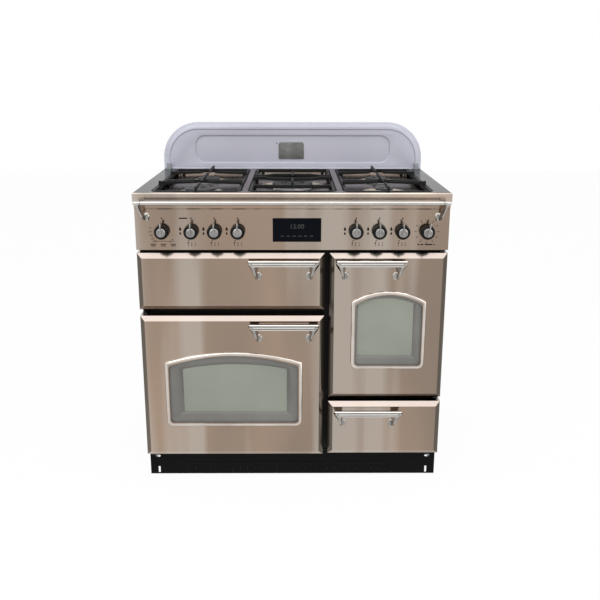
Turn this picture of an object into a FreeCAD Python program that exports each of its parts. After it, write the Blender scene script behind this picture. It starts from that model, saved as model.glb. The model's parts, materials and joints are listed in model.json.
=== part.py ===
"""Range cooker with double oven: a 900 x 600 mm free-standing cooker, one STEP file per piece.

Millimetres. +X is the viewer's right, +Y runs from the front to the rear and +Z is up.
The origin is the middle of the footprint, on the floor.
"""

import FreeCAD, Part
import math
import os

V = FreeCAD.Vector

# ---------------------------------------------------------------- driving dimensions
# Envelope
WIDTH = 900.0  # hob and backguard, side to side
HOB_DEPTH = 600.0  # hob, front edge to rear edge
HOB_HEIGHT = 900.0  # floor to hob surface
RAIL_REACH = 50.0  # towel rail's front ahead of the hob's front edge
BODY_INSET = 4.0  # side panels inside the hob's edges
SHEET = 1.5  # pressed steel of casings, doors and cavities
TOUCH = 0.3  # gap of soft seals and sliding steel

# Hob
FASCIA_HEIGHT = 24.0
FASCIA_EDGE = 3.0
HOB_MARGIN = 50.0  # hob's side edge to the nearest pan support
CENTRE_SUPPORT_WIDTH = 248.0
SUPPORT_SPACING = 24.0  # steel strip seen between two pan supports
SUPPORT_SETBACK = 25.0  # from the hob's front edge
SUPPORT_REAR_MARGIN = 40.0
WELL_CLEARANCE = 3.0  # well edge outside its pan support
WELL_DEPTH = 18.0
WELL_SLOPE = 2.0  # how far a well wall leans inwards on its way down
CORNER_CHORDS = 4
DISH_DEPTH = 6.0
DISH_SLOPE = 8.0
SIDE_DISH_DIAMETER = 136.0
WOK_DISH_DIAMETER = 215.0
FRONT_BURNER_SETBACK = 155.0
REAR_BURNER_SETBACK = 395.0
WOK_BURNER_SETBACK = 275.0

# Burners
RAPID_DIAMETER = 98.0
MEDIUM_DIAMETER = 74.0
SMALL_DIAMETER = 56.0
WOK_DIAMETER = 128.0
CROWN_HEIGHT = 12.0
CROWN_SIDES = 24
CROWN_WALL = 7.0
PORT_WIDTH = 2.5
PORT_DEPTH = 5.0
PORT_PITCH = 36.0  # about this far apart round a crown
CUP_SHARE = 0.6  # half the mixing cup's side, of the crown's radius
CUP_DEPTH = 24.0
CUP_CLEARANCE = 0.5
CAP_THICKNESS = 5.0
CAP_INSET = 1.0
WOK_INNER_DIAMETER = 46.0
WOK_GROOVE = 12.0  # open ring between the wok burner's two crowns
ELECTRODE_DIAMETER = 5.0
ELECTRODE_HEIGHT = 12.0
ELECTRODE_GAP = 5.0  # its axis outside the crown
ELECTRODE_ANGLE = 215.0

# Pan supports
BAR_WIDTH = 9.0
BAR_HEIGHT = 11.0
BAR_TOP_ABOVE_HOB = 2.0
FINGER_WIDTH = 6.0
FINGER_TOP_ABOVE_HOB = 13.0
FINGER_DEPTH = 9.0  # tip of a finger, top to underside
FINGER_TIP_SLOPE = 5.0
SIDE_FINGER_GAP = 20.0  # radius left free over a side burner
WOK_FINGER_GAP = 34.0
SUPPORT_CORNER_RADIUS = 20.0
SUPPORT_FOOT = 18.0  # corner feet from the casting's sides

# Backguard
BACKGUARD_HEIGHT = 159.0
BACKGUARD_DEPTH = 25.0
BACKGUARD_CORNER = 123.0
BACKGUARD_EDGE = 8.0  # bevel of its front rim
RECESS_MARGIN = 113.0  # hob's side edge to the recess
RECESS_LOW = 22.0  # above the hob
RECESS_HIGH = 115.0
RECESS_CORNER = 34.0
RECESS_DEPTH = 9.0
BADGE_WIDTH = 88.0
BADGE_HEIGHT = 61.0
BADGE_ARCH = 5.0
BADGE_THICKNESS = 3.0
BADGE_X = -5.0
BADGE_LOW = 34.0  # above the hob
BRACKET_WIDTH = 14.0
BRACKET_HEIGHT = 20.0
BRACKET_DEPTH = 12.0
BRACKET_INSET = 13.0

# Control panel
PANEL_HEIGHT = 140.0
PANEL_STEP_DROP = 20.0  # its upper band, below the fascia
PANEL_STEP = 3.0  # how far the lower field is set back behind that band
KNOB_HEIGHT = 54.0  # knob axes above the panel's lower edge
KNOB_PITCH = 66.0
KNOB_GROUP_SHARE = 0.52  # middle knob of three from the clock's middle, of half the width
CLOCK_X = 13.0
LEFT_KNOB_INSET = 76.0  # outermost knobs from the panel's ends
RIGHT_KNOB_INSET = 63.0
OVEN_KNOB_TURN = 13.0  # degrees clockwise that the last knob rests at
KNOB_DIAMETER = 41.0
KNOB_LENGTH = 20.0
KNOB_BEVEL = 3.0
KNOB_SIDES = 16
KNOB_CAP_DIAMETER = 28.0
KNOB_CAP_LENGTH = 3.0
POINTER_WIDTH = 7.0
POINTER_REACH = 30.0  # tip of the pointer above the knob's axis
POINTER_TAIL = 13.0
POINTER_LENGTH = 9.0  # how far the pointer stands out of the cap
KNOB_STANDOFF = 5.0  # knob's back in front of the panel
KNOB_BORE_DEPTH = 15.0
SPINDLE_END_GAP = 1.0  # spindle's end short of its bore's
SPINDLE_DIAMETER = 8.0
SPINDLE_SIDES = 8
RUNNING_GAP = 0.05  # radial, spindles and hinge pins
SPINDLE_HOLE = 12.0
PUSH_TRAVEL = 4.0
CLOCK_WIDTH = 138.0
CLOCK_HEIGHT = 68.0
CLOCK_LOW = 24.0  # above the panel's lower edge
CLOCK_PROUD = 2.0
CLOCK_BODY_DEPTH = 30.0
CLOCK_RIM = 5.0

# Taps, switches and pipes behind the panel
SWITCH_SIZE = 38.0
SWITCH_DEPTH = 32.0
TAP_SIZE = 22.0
TAP_SETBACK = 14.0  # tap's nose behind the panel's face
TAP_LENGTH = 46.0
SPINDLE_INSIDE = 14.0  # spindle inside its tap
MANIFOLD_SIZE = 18.0
MANIFOLD_OVERHANG = 30.0
MANIFOLD_FOOT_WIDTH = 20.0
PIPE_DIAMETER = 8.0
PIPE_BEND = 14.0
PIPE_LEVEL = 20.0  # burner pipes' run below the mixing cups
FEED_DIAMETER = 15.0
FEED_BEND = 26.0
FEED_INSET = 30.0  # feed pipe inside the side panel
PIPE_SIDES = 6

# Fronts
PANEL_GAP = 9.0  # under the control panel
LEFT_FRONT_WIDTH = 539.0
COLUMN_GAP = 14.0
GRILL_DOOR_HEIGHT = 169.0
LEFT_GAP = 19.0  # between grill door and main door
MAIN_DOOR_CLEARANCE = 8.0  # above the base
DRAWER_CLEARANCE = 11.0
RIGHT_GAP = 14.0  # between side door and drawer
DRAWER_FRONT_HEIGHT = 172.0
FRONT_PROUD = 6.0  # doors' faces ahead of the control panel's
FRONT_THICKNESS = 56.0
FRONT_BEVEL = 14.0
FRONT_BEVEL_DEPTH = 12.0
LINER_FLANGE = 8.0
FRAME_GAP = 5.0  # doors' backs to the front frame
FRAME_THICKNESS = 2.0

# Windows
MAIN_WINDOW_SHIFT = 1.5  # window's middle, right of its door's middle
MAIN_WINDOW_WIDTH = 384.0
MAIN_WINDOW_LOW = 111.0  # above the door's lower edge
MAIN_WINDOW_DROP = 121.0  # its highest point below the door's upper edge
MAIN_WINDOW_RISE = 31.0  # of its arch
SIDE_WINDOW_SHIFT = 4.0
SIDE_WINDOW_WIDTH = 194.0
SIDE_WINDOW_LOW = 106.0
SIDE_WINDOW_DROP = 122.0
SIDE_WINDOW_RISE = 31.0
WINDOW_RADIUS = 12.0
BEAD_WIDTH = 12.0
BEAD_PROUD = 6.0
BEAD_EDGE = 4.0
GLASS_THICKNESS = 4.0
GLASS_LAP = 6.0  # glass under the sheet round its opening
INNER_WINDOW_INSET = 20.0  # opening in the liner inside the outer one

# Handles and towel rail
HANDLE_LENGTH = 200.0
HANDLE_FOOT_SPACING = 165.0
HANDLE_BAR_HEIGHT = 18.0
HANDLE_BAR_DEPTH = 12.0
HANDLE_BAR_EDGE = 3.5  # bevel along its four edges
HANDLE_STANDOFF = 38.0  # bar's middle in front of the door's face
HANDLE_DROP = 21.0  # bar's middle below the front's upper edge
HANDLE_FOOT_DROP = 48.0
HANDLE_CAP_WIDTH = 25.0
HANDLE_CAP_HEIGHT = 17.0
HANDLE_TOE_WIDTH = 12.0
HANDLE_TOE_HEIGHT = 16.0
HANDLE_EDGE_GAP = 18.0  # bar's tip from the front's opening edge
RAIL_DIAMETER = 11.0
RAIL_SIDES = 12
RAIL_END_INSET = 10.0  # its ends inside the hob's
RAIL_FOOT_INSET = 11.0  # its brackets from its ends
RAIL_BELOW_HOB = 22.0
RAIL_FOOT_DROP = 50.0
RAIL_CAP_WIDTH = 17.5

# Hinges
HINGE_INSET = 14.0  # axis from the door's edge
HINGE_DEPTH = 34.0  # axis in front of the door's back
PIN_DIAMETER = 8.0
PIN_SIDES = 8
PIN_REACH = 10.0  # pin inside its door
HINGE_PLATE = 3.0
HINGE_PLATE_GAP = 2.5
HINGE_EYE = 7.0
ARM_THICKNESS = 4.0
ARM_INSET = 60.0  # drop-down hinge arms from the door's ends
EAR_THICKNESS = 2.0
EAR_GAP = 0.5

# Cavities
OVEN_SIDE_MARGIN = 48.0  # door's edge to the oven's mouth
OVEN_END_MARGIN = 38.0
OVEN_TOP_MARGIN = 42.0
GRILL_LOW_MARGIN = 46.0
GRILL_TOP_MARGIN = 27.0
CAVITY_DEPTH = 430.0
CAVITY_RADIUS = 14.0
CAVITY_FLANGE = 12.0
SEAL_WIDTH = 11.0
RACK_WIRE = 5.0
RACK_STANDOFF = 8.0
RACK_LEVELS = 3
RACK_INSET = 24.0  # rack from the cavity's mouth and back
SHELF_WIRE = 5.0
SHELF_PITCH = 60.0
SHELF_DEPTH = 370.0
SHELF_LEVELS_USED = (1, 2)  # counted from below
ELEMENT_DIAMETER = 7.0
ELEMENT_DROP = 18.0  # element below the cavity's ceiling
GRILL_ELEMENT_LOOPS = 3
OVEN_ELEMENT_LOOPS = 1
ELEMENT_MARGIN = 50.0
GRILL_PAN_HEIGHT = 28.0
GRILL_PAN_MARGIN = 24.0
GRILL_PAN_DEPTH = 360.0
GRILL_PAN_LEAN = 10.0

# Drawer
DRAWER_MOUTH_INSET = 12.0
DRAWER_BOX_GAP = 14.0  # box to the housing's wall, for the runners
DRAWER_BOX_LOW = 12.0
DRAWER_BOX_HEIGHT = 116.0
DRAWER_BOX_DEPTH = 440.0
DRAWER_HOUSING_DEPTH = 470.0
RUNNER_HEIGHT = 26.0
RUNNER_LIP = 2.0

# Base
PLINTH_SETBACK = 45.0
PLINTH_CLEARANCE = 6.0  # above the floor
BASE_HEIGHT = 86.0  # top of the base tray
TRAY_FLANGE = 18.0
VENT_COUNT = 26
VENT_WIDTH = 5.0
VENT_LOW = 11.0
VENT_HIGH = 32.0
VENT_LEFT_INSET = 116.0  # first and last slit from the plinth's ends
VENT_RIGHT_INSET = 151.0
VENT_BREAK = 40.0  # plain stretch between the two groups of slits
RIB_LOW = 41.0
RIB_HEIGHT = 3.0
PLINTH_SLOT_LENGTH = 16.0
PLINTH_SLOT_WIDTH = 8.0
PLINTH_SLOT_INSET = 24.0
PLINTH_SLOT_HEIGHT = 68.0
PLINTH_NOTCH_HEIGHT = 21.0
PLINTH_NOTCH_LENGTH = 21.0
PLINTH_NOTCH_WIDTH = 6.0
PLINTH_NOTCH_INSET = 27.0
FOOT_SIDE_INSET = 61.0  # foot's axis inside the body's side
FOOT_INSET = 62.0  # foot's axis from the plinth's face and from the tray's rear
FOOT_DIAMETER = 38.0
FOOT_SIDES = 12
FOOT_PAD = 7.0
FOOT_STEM = 10.0
REAR_INSET = 26.0  # rear panel inside the hob's rear edge
LOUVRE_COUNT = 6
LOUVRE_LENGTH = 150.0
LOUVRE_HEIGHT = 6.0
LOUVRE_PITCH = 24.0
LOUVRE_OFFSET = 220.0
LOUVRE_LOW = 560.0
SIDE_FLANGE = 16.0
INLET_DIAMETER = 21.0
INLET_LENGTH = 20.0
INLET_HEX = 27.0
GLAND_DIAMETER = 24.0
GLAND_LENGTH = 18.0
GLAND_BORE = 12.0
GLAND_BORE_SIDES = 8
GLAND_INSET = 66.0  # inside the body's side
GLAND_HEIGHT = 150.0

# ---------------------------------------------------------------- planes worked out from them
FRONT = -(HOB_DEPTH + RAIL_REACH) / 2 + RAIL_REACH  # hob's front edge and the panel's face
REAR = FRONT + HOB_DEPTH
BODY_X = WIDTH / 2 - BODY_INSET
INNER_X = BODY_X - SHEET
FASCIA_LOW = HOB_HEIGHT - FASCIA_HEIGHT
WELL_FLOOR = HOB_HEIGHT - WELL_DEPTH
DISH_FLOOR = WELL_FLOOR - DISH_DEPTH
PANEL_LOW = FASCIA_LOW - PANEL_HEIGHT
FRONTS_TOP = PANEL_LOW - PANEL_GAP
FACE_Y = FRONT - FRONT_PROUD
FRONT_BACK_Y = FACE_Y + FRONT_THICKNESS
FRAME_Y = FRONT_BACK_Y + FRAME_GAP
FRAME_BACK_Y = FRAME_Y + FRAME_THICKNESS
PLINTH_Y = FRONT + PLINTH_SETBACK
REAR_PANEL_Y = REAR - REAR_INSET
HINGE_Y = FRONT_BACK_Y - HINGE_DEPTH
FIELD_Y = FRONT + PANEL_STEP  # face of the panel's lower field
FIELD_BACK_Y = FIELD_Y + SHEET
KNOB_Z = PANEL_LOW + KNOB_HEIGHT
KNOB_BACK_Y = FIELD_Y - KNOB_STANDOFF
SPINDLE_TIP_Y = KNOB_BACK_Y - KNOB_BORE_DEPTH + SPINDLE_END_GAP
TAP_Y = FRONT + TAP_SETBACK
MANIFOLD_Y = TAP_Y + TAP_LENGTH
MANIFOLD_Z = KNOB_Z
FEED_X = BODY_X - FEED_INSET
SUPPORT_DEPTH = HOB_DEPTH - SUPPORT_SETBACK - SUPPORT_REAR_MARGIN
SIDE_SUPPORT_WIDTH = WIDTH / 2 - HOB_MARGIN - CENTRE_SUPPORT_WIDTH / 2 - SUPPORT_SPACING
SIDE_SUPPORT_X = (CENTRE_SUPPORT_WIDTH + SIDE_SUPPORT_WIDTH) / 2 + SUPPORT_SPACING
GLAND_X = GLAND_INSET - BODY_X
VENT_FROM, VENT_TO = VENT_LEFT_INSET - BODY_X, BODY_X - VENT_RIGHT_INSET
RAIL_END_X = WIDTH / 2 - RAIL_END_INSET
KNOB_GROUP_OFFSET = KNOB_GROUP_SHARE * WIDTH / 2
LEFT_GROUP_X = CLOCK_X - KNOB_GROUP_OFFSET
RIGHT_GROUP_X = CLOCK_X + KNOB_GROUP_OFFSET
SWITCH_KNOBS = {1: LEFT_KNOB_INSET - BODY_X, 2: LEFT_GROUP_X - KNOB_PITCH, 8: BODY_X - RIGHT_KNOB_INSET}
GAS_KNOBS = {
    3: LEFT_GROUP_X,
    4: LEFT_GROUP_X + KNOB_PITCH,
    5: RIGHT_GROUP_X - KNOB_PITCH,
    6: RIGHT_GROUP_X,
    7: RIGHT_GROUP_X + KNOB_PITCH,
}


class Rect:
    """An upright rectangle seen from the front: x0..x1 by z0..z1."""

    def __init__(self, x0, x1, z0, z1):
        self.x0, self.x1, self.z0, self.z1 = x0, x1, z0, z1

    @property
    def mid(self):
        return (self.x0 + self.x1) / 2

    def grown(self, by):
        return Rect(self.x0 - by, self.x1 + by, self.z0 - by, self.z1 + by)


GRILL_FRONT = Rect(-BODY_X, -BODY_X + LEFT_FRONT_WIDTH, FRONTS_TOP - GRILL_DOOR_HEIGHT, FRONTS_TOP)
MAIN_FRONT = Rect(
    GRILL_FRONT.x0, GRILL_FRONT.x1, BASE_HEIGHT + MAIN_DOOR_CLEARANCE, GRILL_FRONT.z0 - LEFT_GAP
)
DRAWER_LOW = BASE_HEIGHT + DRAWER_CLEARANCE
DRAWER_FRONT = Rect(GRILL_FRONT.x1 + COLUMN_GAP, BODY_X, DRAWER_LOW, DRAWER_LOW + DRAWER_FRONT_HEIGHT)
SIDE_FRONT = Rect(DRAWER_FRONT.x0, DRAWER_FRONT.x1, DRAWER_FRONT.z1 + RIGHT_GAP, FRONTS_TOP)
GRILL_MOUTH = Rect(
    GRILL_FRONT.x0 + OVEN_SIDE_MARGIN,
    GRILL_FRONT.x1 - OVEN_SIDE_MARGIN,
    GRILL_FRONT.z0 + GRILL_LOW_MARGIN,
    GRILL_FRONT.z1 - GRILL_TOP_MARGIN,
)
MAIN_MOUTH = Rect(
    MAIN_FRONT.x0 + OVEN_SIDE_MARGIN,
    MAIN_FRONT.x1 - OVEN_SIDE_MARGIN,
    MAIN_FRONT.z0 + OVEN_END_MARGIN,
    MAIN_FRONT.z1 - OVEN_TOP_MARGIN,
)
SIDE_MOUTH = Rect(
    SIDE_FRONT.x0 + OVEN_SIDE_MARGIN,
    SIDE_FRONT.x1 - OVEN_SIDE_MARGIN,
    SIDE_FRONT.z0 + OVEN_END_MARGIN,
    SIDE_FRONT.z1 - OVEN_TOP_MARGIN,
)
DRAWER_MOUTH = DRAWER_FRONT.grown(-DRAWER_MOUTH_INSET)
MAIN_AXIS_X = MAIN_FRONT.x0 + HINGE_INSET
SIDE_AXIS_X = SIDE_FRONT.x1 - HINGE_INSET
GRILL_AXIS_Z = GRILL_FRONT.z0 + HINGE_INSET


class Burner:
    """One gas burner: its place on the hob, crown and dish diameters, and the knob that feeds it."""

    def __init__(self, x, setback, diameter, dish, knob):
        self.x, self.y, self.knob = x, FRONT + setback, knob
        self.diameter, self.radius, self.dish = diameter, diameter / 2, dish / 2


BURNERS = [
    Burner(-SIDE_SUPPORT_X, FRONT_BURNER_SETBACK, RAPID_DIAMETER, SIDE_DISH_DIAMETER, 3),
    Burner(-SIDE_SUPPORT_X, REAR_BURNER_SETBACK, MEDIUM_DIAMETER, SIDE_DISH_DIAMETER, 4),
    Burner(0.0, WOK_BURNER_SETBACK, WOK_DIAMETER, WOK_DISH_DIAMETER, 5),
    Burner(SIDE_SUPPORT_X, FRONT_BURNER_SETBACK, SMALL_DIAMETER, SIDE_DISH_DIAMETER, 6),
    Burner(SIDE_SUPPORT_X, REAR_BURNER_SETBACK, MEDIUM_DIAMETER, SIDE_DISH_DIAMETER, 7),
]


# ---------------------------------------------------------------- drawing helpers
def box(x0, x1, y0, y1, z0, z1):
    """A box between two corners."""
    return Part.makeBox(x1 - x0, y1 - y0, z1 - z0, V(x0, y0, z0))


def rod(radius, start, end):
    """A round bar between two points."""
    run = V(*end) - V(*start)
    return Part.makeCylinder(radius, run.Length, V(*start), run)


def upright_wire(rect, y, radius=0.0):
    """A rectangle in the plane Y = y, with rounded corners where radius is given."""
    return rounded_wire(rect.x0, rect.x1, rect.z0, rect.z1, radius, lambda u, v: V(u, y, v))


def level_wire(x0, x1, y0, y1, z, radius=0.0):
    """A rectangle in the plane Z = z, with rounded corners where radius is given."""
    return rounded_wire(x0, x1, y0, y1, radius, lambda u, v: V(u, v, z))


def rounded_wire(u0, u1, v0, v1, radius, place):
    """A closed rectangle in a plane given by place(u, v), its corners turned by quarter arcs."""
    if radius <= 0:
        corners = [place(u0, v0), place(u1, v0), place(u1, v1), place(u0, v1)]
        return Part.makePolygon(corners + corners[:1])
    left, right, low, high = u0 + radius, u1 - radius, v0 + radius, v1 - radius
    edges, previous = [], place(left, v0)
    for turn, (cu, cv) in enumerate(((right, low), (right, high), (left, high), (left, low))):
        start, middle, end = (
            place(cu + radius * math.cos(a), cv + radius * math.sin(a))
            for a in (math.radians(90 * turn - 90 + step) for step in (0, 45, 90))
        )
        edges.append(Part.LineSegment(previous, start).toShape())
        edges.append(Part.Arc(start, middle, end).toShape())
        previous = end
    return Part.Wire(edges)


def prism(wire, direction):
    """The solid swept by a closed flat wire along a direction."""
    return Part.Face(wire).extrude(V(*direction))


def slab(rect, y0, y1, radius=0.0):
    """An upright plate over a rectangle, from y0 to y1."""
    return prism(upright_wire(rect, y0, radius), (0, y1 - y0, 0))





def joined(shapes):
    """One solid from pieces of the same casting, pressing or weldment."""
    whole = shapes[0].fuse(shapes[1:]) if len(shapes) > 1 else shapes[0]
    return whole.removeSplitter()





def faceted(rings):
    """A solid of flat faces through rings of equally many corners; a quad that isn't flat is split in two."""
    faces = []
    for near, far in zip(rings, rings[1:]):
        for i in range(len(near)):
            k = (i + 1) % len(near)
            a, b, c, d = near[i], near[k], far[k], far[i]
            normal = (b - a).cross(c - a)
            if abs(normal.dot(d - a)) < 1e-6 * max(1.0, normal.Length):
                faces.append(Part.Face(Part.makePolygon([a, b, c, d, a])))
            else:
                faces.append(Part.Face(Part.makePolygon([a, b, c, a])))
                faces.append(Part.Face(Part.makePolygon([a, c, d, a])))
    for end in (rings[0], rings[-1]):
        faces.append(Part.Face(Part.makePolygon(end + end[:1])))
    solid = Part.Solid(Part.Shell(faces))
    return solid if solid.Volume > 0 else solid.reversed()


def ring(centre, direction, radius, sides, start=0.0):
    """The corners of a regular polygon round an axis, one flat side facing down where the axis is level."""
    w = V(*direction).normalize()
    up = V(0, 0, 1) if abs(w.z) < 0.9 else V(0, 1, 0)
    u = w.cross(up).normalize()
    v = u.cross(w)
    angles = (start + math.pi / sides + 2 * math.pi * k / sides for k in range(sides))
    return [V(*centre) + u * (radius * math.cos(a)) + v * (radius * math.sin(a)) for a in angles]


def polygon_bar(radius, start, end, sides):
    """A straight bar of many-sided section between two points."""
    run = V(*end) - V(*start)
    return faceted([ring(start, run, radius, sides), ring(end, run, radius, sides)])


def rounded_path(points, bend):
    """A route's points, with each corner cut by the chord of a tangent arc."""
    corners = [V(*p) for p in points]
    path = [corners[0]]
    for before, corner, after in zip(corners, corners[1:], corners[2:]):
        inward, outward = (corner - before).normalize(), (after - corner).normalize()
        half_turn = inward.getAngle(outward) / 2
        setback = bend * math.tan(half_turn)
        path += [corner - inward * setback, corner + outward * setback]
    path.append(corners[-1])
    return [p for p, q in zip(path, path[1:]) if (q - p).Length > 0.01] + path[-1:]


def tube(points, radius, bend):
    """A pipe or element of six-sided section, mitred along a route with rounded corners."""
    path = rounded_path(points, bend)
    section = ring(path[0], path[1] - path[0], radius, PIPE_SIDES)
    rings = [section]
    for i in range(1, len(path)):
        along = (path[i] - path[i - 1]).normalize()
        onward = (path[i + 1] - path[i]).normalize() if i + 1 < len(path) else along
        normal = (along + onward).normalize()
        section = [p + along * ((path[i] - p).dot(normal) / along.dot(normal)) for p in section]
        rings.append(section)
    return faceted(rings)


def arched_wire(mid, half_width, low, shoulder, apex, y):
    """A window outline with a straight foot and sides and one shallow arc over it."""
    left, right = V(mid - half_width, y, low), V(mid + half_width, y, low)
    top_left, top_right = V(mid - half_width, y, shoulder), V(mid + half_width, y, shoulder)
    return Part.Wire(
        [
            Part.LineSegment(left, right).toShape(),
            Part.LineSegment(right, top_right).toShape(),
            Part.Arc(top_right, V(mid, y, apex), top_left).toShape(),
            Part.LineSegment(top_left, left).toShape(),
        ]
    )


class Window:
    """A door's arched window, held as the opening in its sheet."""

    def __init__(self, front, shift, width, low, drop, rise):
        self.mid, self.half_width = front.mid + shift, width / 2
        self.low, self.apex = front.z0 + low, front.z1 - drop
        self.shoulder = self.apex - rise

    def bounds(self):
        """The rectangle round the window's straight part."""
        return Rect(self.mid - self.half_width, self.mid + self.half_width, self.low, self.apex)

    def plate(self, y0, y1, grow=0.0):
        """The window's shape grown by a margin, as a plate with rounded corners."""
        wire = arched_wire(
            self.mid, self.half_width + grow, self.low - grow, self.shoulder + grow, self.apex + grow, y0
        )
        plain = prism(wire, (0, y1 - y0, 0))
        corners = [e for e in plain.Edges if abs(e.tangentAt(e.FirstParameter).y) > 0.99]
        return plain.makeFillet(WINDOW_RADIUS + max(grow, -WINDOW_RADIUS / 2), corners)


MAIN_WINDOW = Window(
    MAIN_FRONT, MAIN_WINDOW_SHIFT, MAIN_WINDOW_WIDTH, MAIN_WINDOW_LOW, MAIN_WINDOW_DROP, MAIN_WINDOW_RISE
)
SIDE_WINDOW = Window(
    SIDE_FRONT, SIDE_WINDOW_SHIFT, SIDE_WINDOW_WIDTH, SIDE_WINDOW_LOW, SIDE_WINDOW_DROP, SIDE_WINDOW_RISE
)


# ---------------------------------------------------------------- base and casing
def base_tray():
    """Floor sheet with a flange turned down all round, on the feet."""
    y0, y1 = PLINTH_Y + SHEET, REAR_PANEL_Y
    low, inner = BASE_HEIGHT - TRAY_FLANGE, INNER_X - SHEET
    outer = box(-INNER_X, INNER_X, y0, y1, low, BASE_HEIGHT)
    return outer.cut(box(-inner, inner, y0 + SHEET, y1 - SHEET, low, BASE_HEIGHT - SHEET))


def plinth():
    """Front kick plate with side returns, vent slits, fixing slots and levelling notches."""
    high = BASE_HEIGHT
    sheet = box(-BODY_X, BODY_X, PLINTH_Y, REAR_PANEL_Y, PLINTH_CLEARANCE, high)
    sheet = sheet.cut(box(-INNER_X, INNER_X, PLINTH_Y + SHEET, REAR_PANEL_Y, PLINTH_CLEARANCE, high))
    cuts = []
    step = (VENT_TO - VENT_FROM - VENT_BREAK) / (VENT_COUNT - 1)
    for k in range(VENT_COUNT):
        x = VENT_FROM + k * step + (VENT_BREAK if k >= VENT_COUNT // 2 else 0)
        x0, x1 = x - VENT_WIDTH / 2, x + VENT_WIDTH / 2
        cuts.append(box(x0, x1, PLINTH_Y, PLINTH_Y + SHEET, VENT_LOW, VENT_HIGH))
    round_end = PLINTH_SLOT_WIDTH / 2 - 0.01
    for side in (-1, 1):
        slot_x, notch_x = side * (BODY_X - PLINTH_SLOT_INSET), side * (BODY_X - PLINTH_NOTCH_INSET)
        cuts.append(
            plinth_hole(slot_x, PLINTH_SLOT_HEIGHT, PLINTH_SLOT_LENGTH, PLINTH_SLOT_WIDTH, round_end)
        )
        cuts.append(plinth_hole(notch_x, PLINTH_NOTCH_HEIGHT, PLINTH_NOTCH_WIDTH, PLINTH_NOTCH_LENGTH))
    rib = box(VENT_FROM, VENT_TO, PLINTH_Y - SHEET, PLINTH_Y, RIB_LOW, RIB_LOW + RIB_HEIGHT)
    return joined([sheet.cut(cuts), rib])


def plinth_hole(x, z, width, height, radius=0.0):
    """A hole through the plinth's face about a middle, with round ends where a radius is given."""
    shape = Rect(x - width / 2, x + width / 2, z - height / 2, z + height / 2)
    return slab(shape, PLINTH_Y - SHEET, PLINTH_Y + 2 * SHEET, radius)


def levelling_feet():
    """Four screw feet: a round pad and a hexagonal stem up to the base tray."""
    ys = (PLINTH_Y + FOOT_INSET, REAR_PANEL_Y - FOOT_INSET)
    feet = []
    for x in (FOOT_SIDE_INSET - BODY_X, BODY_X - FOOT_SIDE_INSET):
        for y in ys:
            pad = polygon_bar(FOOT_DIAMETER / 2, (x, y, 0), (x, y, FOOT_PAD), FOOT_SIDES)
            stem = polygon_bar(FOOT_STEM / 2, (x, y, FOOT_PAD), (x, y, BASE_HEIGHT - SHEET), 6)
            feet.append(joined([pad, stem]))
    return feet


def side_panel(side):
    """A side sheet with flanges turned in at the rear and top."""
    y0, y1, z1 = FRAME_Y, REAR_PANEL_Y + SHEET, HOB_HEIGHT - SHEET
    outer = box(-BODY_X, -BODY_X + SIDE_FLANGE, y0, y1, BASE_HEIGHT, z1)
    hollow = box(-INNER_X, -BODY_X + SIDE_FLANGE, y0, y1 - SHEET, BASE_HEIGHT, z1 - SHEET)
    panel = outer.cut(hollow)
    if side > 0:
        panel = panel.mirror(V(0, 0, 0), V(1, 0, 0))
    return panel


def front_frame():
    """The plate that the doors close on, with a mouth for each compartment and one for the controls."""
    plate = slab(Rect(-INNER_X, INNER_X, BASE_HEIGHT, FASCIA_LOW - SHEET), FRAME_Y, FRAME_BACK_Y)
    controls = Rect(
        -INNER_X + 2 * SIDE_FLANGE, INNER_X - 2 * SIDE_FLANGE, PANEL_LOW + SHEET, FASCIA_LOW - SIDE_FLANGE
    )
    mouths = (GRILL_MOUTH, MAIN_MOUTH, SIDE_MOUTH, DRAWER_MOUTH, controls)
    return plate.cut([slab(m, FRAME_Y, FRAME_BACK_Y) for m in mouths])


def rear_panel():
    """The back sheet, with two columns of cooling louvres and holes for the gas inlet and cable gland."""
    y0, y1 = REAR_PANEL_Y, REAR_PANEL_Y + SHEET
    inner = BODY_X - SIDE_FLANGE
    plate = box(-inner, inner, y0, y1, BASE_HEIGHT - TRAY_FLANGE, FASCIA_LOW)
    cuts = []
    for side in (-1, 1):
        for k in range(LOUVRE_COUNT):
            z = LOUVRE_LOW + k * LOUVRE_PITCH
            x = side * LOUVRE_OFFSET
            cuts.append(box(x - LOUVRE_LENGTH / 2, x + LOUVRE_LENGTH / 2, y0, y1, z, z + LOUVRE_HEIGHT))
    feed, start = FEED_DIAMETER / 2, (FEED_X, y0, MANIFOLD_Z)
    cuts.append(polygon_bar(feed, start, (FEED_X, y1, MANIFOLD_Z), PIPE_SIDES))
    cuts.append(gland_bore(y0, y1))
    return plate.cut(cuts)


def gas_inlet():
    """The threaded stub with its hexagon, on the rear panel."""
    y0 = REAR_PANEL_Y + SHEET
    hexagon_end, end = y0 + INLET_LENGTH / 3, y0 + INLET_LENGTH
    start = (FEED_X, y0, MANIFOLD_Z)
    hexagon = polygon_bar(INLET_HEX / math.sqrt(3), start, (FEED_X, hexagon_end, MANIFOLD_Z), 6)
    stub = rod(INLET_DIAMETER / 2, start, (FEED_X, end, MANIFOLD_Z))
    way = polygon_bar(FEED_DIAMETER / 2 - SHEET, start, (FEED_X, end, MANIFOLD_Z), PIPE_SIDES)
    return joined([hexagon, stub]).cut(way)


def cable_gland():
    """The gland for the mains lead: a hexagonal nut with a tapered nose and an open bore."""
    y0 = REAR_PANEL_Y + SHEET
    shoulder, nose = y0 + GLAND_LENGTH * 0.6, y0 + GLAND_LENGTH
    outline = ((y0, GLAND_DIAMETER / 2), (shoulder, GLAND_DIAMETER / 2), (nose, GLAND_DIAMETER * 0.4))
    rings = [ring((GLAND_X, y, GLAND_HEIGHT), (0, 1, 0), radius, 6) for y, radius in outline]
    return faceted(rings).cut(gland_bore(y0, nose))


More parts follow.
